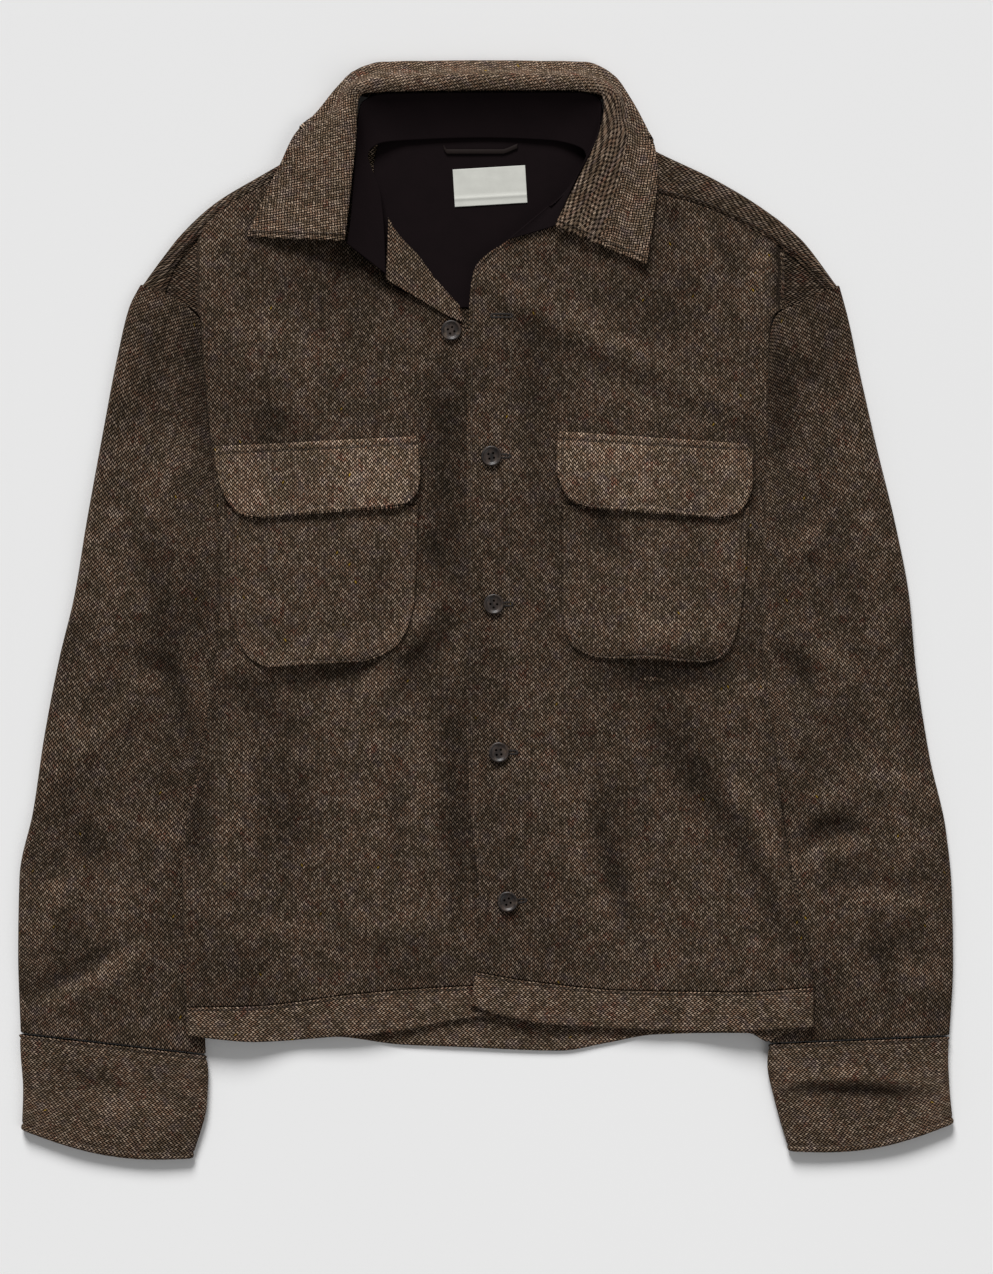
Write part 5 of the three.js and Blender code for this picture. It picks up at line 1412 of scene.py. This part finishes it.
class SHACKET_OT_body(bpy.types.Operator):
    """Builds the fronts, the back, the hem bands and the yoke"""

    bl_idname = "shacket.body"
    bl_label = "Build body"

    def execute(self, context):
        cloth, yoke = made("Tweed body"), made("Tweed yoke")
        for side, rails, top, relief, flat, area in (
            ("right", (RIGHT_INNER, RIGHT_OUTER, RIGHT_SEAM, RIGHT_FOOT), top_right, relief_right,
             (0.325, 0.67), 0.167),
            ("left", (LEFT_INNER, LEFT_OUTER, LEFT_SEAM, LEFT_FOOT), top_left, relief_left,
             (0.31, 0.665), 0.163),
        ):
            points, turned = front_points(rails, top)
            low = shoulder_step(points[..., 0], points[..., 1])
            points[..., 2] -= SHOULDER_DROP * low
            grain = np.where(low[..., None] > 0.5, points[..., [1, 0]] * (1, 0.8), grain_across(points, 0))
            points = stitched(points, ("start",), FRONT_STITCH)
            if side == "left":
                SEWING.append(line_along(points, "start", FRONT_STITCH, FRONT_TRIM))
                SEWING.append(line_along(points, "start", PLACKET_STITCH, PLACKET_TRIM))
            obj = shell(f"Front_{side}", points, CLOTH, level=ends_level(points, turned), grain=grain,
                        relief=relief)
            finished(obj, f"front_{side}", cloth, flat, area)
        for side, seam, foot, top, flat in (
            ("right", RIGHT_FOOT, rail(HEM_FOOT_RIGHT), top_right, (0.276, 0.03)),
            ("left", LEFT_FOOT, rail(HEM_FOOT_LEFT), top_left, (0.284, 0.036)),
        ):
            points, turned = hem_points(seam, foot, top)
            points = stitched(points, ("head",), HEM_STITCH)
            SEWING.append(line_along(points, "head", HEM_STITCH, HEM_TRIM))
            obj = shell(f"Hem_front_{side}", points, DOUBLED_CLOTH, level=ends_level(points, turned),
                        grain=grain_across(points, 0))
            finished(obj, f"hem_front_{side}", made("Tweed hem"), flat)
        outline = rail(BACK_ROWS)
        sides = [lambda v, k=k: outline(v)[..., [k, 0]] for k in (1, 2)]
        head = lambda u: mix(sides[0](0.0), sides[1](0.0), np.asarray(u, float)[..., None])
        seam, foot = rail(HEM_SEAM_BACK), rail(HEM_FOOT_BACK)
        v = spread(BACK_RUN, PLAIN_STEP)[:, None]
        points = back_points(within(*sides, head, seam), v, LAID_HEIGHT / 2, smooth(v, 0.04, 0.08))
        turned = v[:, 0] > 0.06
        obj = shell("Back", points, CLOTH, down=True, level=ends_level(points, turned, True),
                    grain=grain_across(points, points.shape[1] // 2))
        finished(obj, "back_panel", cloth, (0.53, 0.58), 0.27)
        v = spread(HEM_RUN, STEP)[:, None]
        points = back_points(between(seam, foot), v, HEM_HEIGHT / 2, np.ones_like(v))
        obj = shell("Hem_back", points, DOUBLED_CLOTH, down=True,
                    level=ends_level(points, v[:, 0] >= 0, True),
                    grain=grain_across(points, points.shape[1] // 2))
        finished(obj, "hem_back", made("Tweed hem"), (0.53, 0.034))
        strips = [
            yoke_strip_points(RIGHT_SEAM, rail(SHOULDER_RIGHT), *YOKE_BACK_RIGHT, top_right),
            yoke_strip_points(LEFT_SEAM, rail(SHOULDER_LEFT), *YOKE_BACK_LEFT, top_left),
        ]
        strips = [stitched(points, ("start",), YOKE_STITCH) for points in strips]
        SEWING.extend(line_along(points, "start", YOKE_STITCH, YOKE_TRIM) for points in strips)
        parts = [
            shell(f"Yoke_{i}", points, CLOTH, probe=0, grain=grain_section(points))
            for i, points in enumerate(strips)
        ]
        middle = yoke_middle_points()
        parts.append(shell("Yoke", middle, CLOTH, down=True, grain=middle[..., :2]))
        finished(joined(parts), "yoke", yoke, (0.60, 0.22), 0.0715)
        return {"FINISHED"}


def grain_section(points):
    """Grain measured along each section from its front seam, over the fold."""
    run = arc(points, 1)
    return np.stack([points[:, :1, 0] + 0 * run, points[:, :1, 1] + run], axis=-1)


def joined(parts):
    """Several closed parts as one object, under the last one's name."""
    bpy.ops.object.select_all(action="DESELECT")
    for obj in parts:
        obj.select_set(True)
    bpy.context.view_layer.objects.active = parts[-1]
    bpy.ops.object.join()
    return parts[-1]


class SHACKET_OT_sleeves(bpy.types.Operator):
    """Builds the sleeves and cuffs"""

    bl_idname = "shacket.sleeves"
    bl_label = "Build sleeves"

    def execute(self, context):
        sleeve, cuff = made("Tweed sleeves"), made("Tweed cuffs")
        for side, rows, fine, folds, hole, flat, area in (
            ("right", SLEEVE_RIGHT_ROWS, FINE_SLEEVE_RIGHT, FOLDS_SLEEVE_RIGHT, ARMHOLE_RIGHT,
             (0.32, 0.62), 0.135),
            ("left", SLEEVE_LEFT_ROWS, FINE_SLEEVE_LEFT, FOLDS_SLEEVE_LEFT, ARMHOLE_LEFT,
             (0.32, 0.62), 0.135),
        ):
            main, small = fold_field(folds), fold_field(fine)
            height = lambda x, y: main(x, y) + small(x, y) + WOBBLE_SLEEVE(x, y)
            points = tube_points(rows, SLEEVE_RUN, armhole_shift(hole), height, meets_body=True)
            obj = shell(f"Sleeve_{side}", points, CLOTH, ring=True, grain=grain_round(points), relief=height)
            finished(obj, f"sleeve_{side}", sleeve, flat, area)
        for side, rows, folds in (
            ("right", CUFF_RIGHT_ROWS, FINE_CUFF_RIGHT),
            ("left", CUFF_LEFT_ROWS, FOLDS_CUFF_LEFT),
        ):
            main = fold_field(folds)
            height = lambda x, y: main(x, y) + 0.7 * WOBBLE_SLEEVE(x, y)
            points = tube_points(rows, CUFF_RUN, cuff_shift, height)
            points = stitched(points, ("head",), CUFF_STITCH, ring=True)
            points = stitched(points, ("foot",), MOUTH_STITCH, ring=True)
            middle = slice(TUBE_UNDER + TUBE_SIDE, TUBE_UNDER + TUBE_SIDE + TUBE_TOP)
            SEWING.append(line_along(points[:, middle], "head", CUFF_STITCH, SHORT_TRIM))
            SEWING.append(line_along(points[:, middle], "foot", MOUTH_STITCH, SHORT_TRIM))
            obj = shell(f"Cuff_{side}", points, DOUBLED_CLOTH, ring=True, grain=grain_round(points),
                        relief=height)
            finished(obj, f"cuff_{side}", cuff, (0.31, 0.085))
        return {"FINISHED"}


class SHACKET_OT_neck(bpy.types.Operator):
    """Builds the collar, its stand, the inner yoke, the facing, the label and the hanger loop"""

    bl_idname = "shacket.neck"
    bl_label = "Build neck"

    def execute(self, context):
        lining = made("Lining")
        points = fall_points()
        points = stitched(points, ("head", "foot"), COLLAR_STITCH)
        for side in ("head", "foot"):
            SEWING.append(line_along(points[:, 4:-2], side, COLLAR_STITCH, SHORT_TRIM))
        leaves = (slice(0, LEAF_ROWS), slice(-LEAF_ROWS, None))
        SEWING.extend(line_along(points[leaf], "end", COLLAR_STITCH, COLLAR_STITCH) for leaf in leaves)
        grain = np.stack([arc(points, 0), arc(points, 1)], axis=-1)
        obj = shell("Collar_fall", points, COLLAR_CLOTH, probe=6, grain=grain)
        finished(obj, "collar_fall", made("Tweed collar"), (0.60, 0.09), 0.0315)
        points = stand_points()
        grain = np.stack([arc(points, 1), arc(points, 0)], axis=-1)
        obj = shell("Collar_stand", points, STAND_CLOTH, grain=grain)
        finished(obj, "collar_stand", lining, (0.47, 0.028), 0.0113)
        points = lining_points()
        obj = shell("Yoke_lining", points, LINING_CLOTH)
        finished(obj, "yoke_lining", lining, (0.166, 0.133), 0.0165)
        points = facing_points()
        obj = shell("Facing_right", points, POCKET_CLOTH)
        finished(obj, "facing_right", made("Tweed pockets"), (0.08, 0.05), 0.0022)
        obj = shell("Neck_label", label_points(), LABEL_CLOTH)
        finished(obj, "neck_label", made("Ribbon"), (0.058, 0.03))
        obj = shell("Hanger_loop", loop_points(), LOOP_CLOTH)
        finished(obj, "hanger_loop", made("Loop"), None)
        return {"FINISHED"}


class SHACKET_OT_pockets(bpy.types.Operator):
    """Builds the patch pockets and their flaps"""

    bl_idname = "shacket.pockets"
    bl_label = "Build pockets"

    def execute(self, context):
        for side, pocket, flap, top, relief in (
            ("right", POCKET_RIGHT_ROWS, FLAP_RIGHT_ROWS, top_right, relief_right),
            ("left", POCKET_LEFT_ROWS, FLAP_LEFT_ROWS, top_left, relief_left),
        ):
            points = patch_points(pocket, top, POCKET_CLOTH, POCKET_REACH, LAY_GAP)
            points = stitched(points, ("start", "end", "foot"), POCKET_STITCH)
            for edge in ("start", "end", "foot"):
                SEWING.append(line_along(points, edge, POCKET_STITCH, POCKET_STITCH))
            obj = shell(f"Pocket_{side}", points, POCKET_CLOTH, relief=relief)
            finished(obj, f"pocket_{side}", made("Tweed pockets"), (0.153, 0.13),
                     0.0177)
            points = patch_points(flap, top, CLOTH, FLAP_REACH, 2 * LAY_GAP + POCKET_CLOTH)
            points[..., 2] += FLAP_LIFT * np.linspace(0, 1, len(points))[:, None] ** 2
            points = stitched(points, ("start", "end", "foot"), FLAP_STITCH)
            points = stitched(points, ("head",), FLAP_HEAD_STITCH)
            for edge, offset in (("start", FLAP_STITCH), ("end", FLAP_STITCH), ("foot", FLAP_STITCH),
                                 ("head", FLAP_HEAD_STITCH)):
                SEWING.append(line_along(points, edge, offset, FLAP_STITCH))
            obj = shell(f"Flap_{side}", points, CLOTH, relief=relief)
            finished(obj, f"flap_{side}", made("Tweed flaps"), (0.163, 0.062),
                     0.0088)
        return {"FINISHED"}


class SHACKET_OT_buttons(bpy.types.Operator):
    """Builds the horn buttons"""

    bl_idname = "shacket.buttons"
    bl_label = "Build buttons"

    def execute(self, context):
        tops = {"right": top_right, "left": top_left}
        for name, x, y, side, turn in BUTTONS:
            high = float(tops[side](np.array(x), np.array(y))) + LAY_GAP
            obj = button_object(name.capitalize(), x, y, high, turn)
            finished(obj, name, made("Horn"), None)
        return {"FINISHED"}


def node_socket(group, name):
    """The identifier of a node group's input."""
    return next(i.identifier for i in group.interface.items_tree if i.name == name and i.in_out == "INPUT")


def stitch_nodes():
    """Node group that lays stitches along lines: evenly spaced rounded threads, a little uneven."""
    group = bpy.data.node_groups.new("Stitches", "GeometryNodeTree")
    for name, kind, value in (
        ("Lines", "Geometry", None), ("Spacing", "Float", 0.0042), ("Length", "Float", 0.003),
        ("Width", "Float", 0.0006), ("Turn", "Float", 0.0), ("Seed", "Int", 4), ("Material", "Material", None),
    ):
        socket = group.interface.new_socket(name, in_out="INPUT", socket_type=f"NodeSocket{kind}")
        if value is not None:
            socket.default_value = value
    group.interface.new_socket("Stitches", in_out="OUTPUT", socket_type="NodeSocketGeometry")

    def node(kind, inputs, **settings):
        item = group.nodes.new(kind)
        for key, value in settings.items():
            setattr(item, key, value)
        for key, value in inputs.items():
            if isinstance(value, bpy.types.NodeSocket):
                group.links.new(value, item.inputs[key])
            else:
                item.inputs[key].default_value = value
        return item

    given = group.nodes.new("NodeGroupInput").outputs
    curve = node("GeometryNodeMeshToCurve", {"Mesh": given["Lines"]}).outputs["Curve"]
    spaced = node("GeometryNodeResampleCurve", {"Curve": curve, "Length": given["Spacing"]}, mode="LENGTH")
    ball = node("GeometryNodeMeshUVSphere", {"Segments": 8, "Rings": 6, "Radius": 0.5}).outputs["Mesh"]
    size = node("ShaderNodeCombineXYZ", {"X": given["Length"], "Y": given["Width"], "Z": given["Width"]})
    shaped = node("GeometryNodeTransform", {"Geometry": ball, "Scale": size.outputs["Vector"]})
    tangent = group.nodes.new("GeometryNodeInputTangent").outputs["Tangent"]
    aim = node("FunctionNodeAlignRotationToVector", {"Vector": tangent}, axis="X").outputs["Rotation"]
    uneven = node("FunctionNodeRandomValue", {"Seed": given["Seed"]}, data_type="FLOAT")
    low, high = [i for i in uneven.inputs if i.enabled and i.name in ("Min", "Max")]
    low.default_value, high.default_value = -STITCH_UNEVEN, STITCH_UNEVEN
    slant = node("ShaderNodeMath", {0: given["Turn"], 1: next(o for o in uneven.outputs if o.enabled)})
    turn = node("ShaderNodeCombineXYZ", {"Z": slant.outputs[0]}).outputs["Vector"]
    rotated = node("FunctionNodeRotateRotation", {"Rotation": aim, "Rotate By": turn}, rotation_space="LOCAL")
    placed = node("GeometryNodeInstanceOnPoints", {
        "Points": spaced.outputs["Curve"], "Instance": shaped.outputs["Geometry"],
        "Rotation": rotated.outputs["Rotation"],
    })
    real = node("GeometryNodeRealizeInstances", {"Geometry": placed.outputs["Instances"]})
    painted = node("GeometryNodeSetMaterial", {
        "Geometry": real.outputs["Geometry"], "Material": given["Material"],
    })
    node("NodeGroupOutput", {"Stitches": painted.outputs["Geometry"]})
    return group


def sewn(name, lines, group, material, **values):
    """A piece of stitches along lines of points in millimetres."""
    coords = np.concatenate(lines) * MM
    edges, first = [], 0
    for line in lines:
        edges += [(first + i, first + i + 1) for i in range(len(line) - 1)]
        first += len(line)
    mesh = bpy.data.meshes.new(name)
    mesh.from_pydata(coords.tolist(), edges, [])
    obj = bpy.data.objects.new(name, mesh)
    bpy.context.scene.collection.objects.link(obj)
    modifier = obj.modifiers.new("Stitches", "NODES")
    modifier.node_group = group
    for key, value in {**values, "Material": material}.items():
        modifier[node_socket(group, key)] = value
    applied(obj)
    obj.data.polygons.foreach_set("use_smooth", [True] * len(obj.data.polygons))
    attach(obj, "root")
    return obj


def oval(x, y, length, width, turn, top):
    """A buttonhole's outline, on the cloth."""
    a = np.linspace(0, math.tau, 48)
    px = 0.5 * (length - width) * np.sign(np.cos(a)) * (np.abs(np.cos(a)) > 0.05) + 0.5 * width * np.cos(a)
    py = 0.5 * width * np.sin(a)
    c, s = math.cos(turn), math.sin(turn)
    gx, gy = x + c * px - s * py, y + s * px + c * py
    return join(gx, gy, top(gx, gy) + 0.15)


class SHACKET_OT_stitches(bpy.types.Operator):
    """Sews the seams and the buttonholes"""

    bl_idname = "shacket.stitches"
    bl_label = "Sew"

    def execute(self, context):
        if not SEWING:
            raise RuntimeError("build the cloth pieces before their stitches")
        group = stitch_nodes()
        settings = context.scene.shacket
        sewn("Topstitching", [line for line in SEWING if len(line) > 2], group, made("Thread"),
             Spacing=settings.stitch_length, Length=settings.stitch_length * STITCH_SHARE, Width=STITCH_WIDTH)
        tops = {"right": top_right, "left": top_left}
        holes = [oval(x, y, length, HOLE_WIDTH, turn, tops[side]) for x, y, length, turn, side in BUTTONHOLES]
        sewn("Buttonholes", holes, group, made("Buttonhole thread"), Spacing=HOLE_STITCH_SPACING,
             Length=HOLE_STITCH_LENGTH, Width=STITCH_WIDTH, Turn=math.pi / 2)
        return {"FINISHED"}


class SHACKET_OT_stage(bpy.types.Operator):
    """Sets the floor, the lights and the camera straight above the garment"""

    bl_idname = "shacket.stage"
    bl_label = "Set stage"

    def execute(self, context):
        settings = context.scene.shacket
        bpy.ops.mesh.primitive_plane_add(size=7, location=(0, 0, 0))
        floor = context.object
        floor.name = "Floor"
        floor.data.materials.append(made("Floor"))
        for name, place, angle, power in (
            ("Key", KEY_PLACE, KEY_ANGLE, settings.key_power),
            ("Side", SIDE_PLACE, SIDE_ANGLE, settings.key_power * SIDE_SHARE),
        ):
            data = bpy.data.lights.new(name, "SUN")
            data.angle = angle
            data.energy = power
            lamp = bpy.data.objects.new(name, data)
            context.scene.collection.objects.link(lamp)
            lamp.location = place
            lamp.rotation_euler = (-Vector(place)).to_track_quat("-Z", "Y").to_euler()
        world = bpy.data.worlds.new("Studio")
        world.use_nodes = True
        sky = world.node_tree.nodes["Background"]
        sky.inputs["Color"].default_value = (1.0, 1.0, 1.0, 1.0)
        sky.inputs["Strength"].default_value = settings.fill_strength
        context.scene.world = world
        context.scene.view_settings.view_transform = "Standard"
        data = bpy.data.cameras.new("Camera")
        data.sensor_fit = "VERTICAL"
        data.sensor_height = 36.0
        data.lens = data.sensor_height * CAMERA_HEIGHT / settings.frame_height
        camera = bpy.data.objects.new("Camera", data)
        context.scene.collection.objects.link(camera)
        camera.location = (CAMERA_X, CAMERA_Y, CAMERA_HEIGHT)
        context.scene.camera = camera
        return {"FINISHED"}


class SHACKET_PT_panel(bpy.types.Panel):
    """The shacket's tab in the 3D view's sidebar"""

    bl_idname = "SHACKET_PT_panel"
    bl_label = "Shacket"
    bl_space_type = "VIEW_3D"
    bl_region_type = "UI"
    bl_category = "Shacket"

    def draw(self, context):
        settings = context.scene.shacket
        for name in ("stitch_length", "key_power", "fill_strength", "frame_height"):
            self.layout.prop(settings, name)
        for operator in OPERATORS:
            self.layout.operator(operator.bl_idname)


OPERATORS = (
    SHACKET_OT_materials,
    SHACKET_OT_body,
    SHACKET_OT_sleeves,
    SHACKET_OT_neck,
    SHACKET_OT_pockets,
    SHACKET_OT_buttons,
    SHACKET_OT_stitches,
    SHACKET_OT_stage,
)


def register():
    for item in (ShacketSettings, *OPERATORS, SHACKET_PT_panel):
        bpy.utils.register_class(item)
    bpy.types.Scene.shacket = bpy.props.PointerProperty(type=ShacketSettings)


def unregister():
    del bpy.types.Scene.shacket
    for item in (SHACKET_PT_panel, *reversed(OPERATORS), ShacketSettings):
        bpy.utils.unregister_class(item)


def main():
    register()
    bpy.ops.shacket.materials()
    bpy.ops.shacket.body()
    bpy.ops.shacket.sleeves()
    bpy.ops.shacket.neck()
    bpy.ops.shacket.pockets()
    bpy.ops.shacket.buttons()
    bpy.ops.shacket.stitches()
    bpy.ops.shacket.stage()
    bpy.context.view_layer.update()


if __name__ == "__main__":
    main()
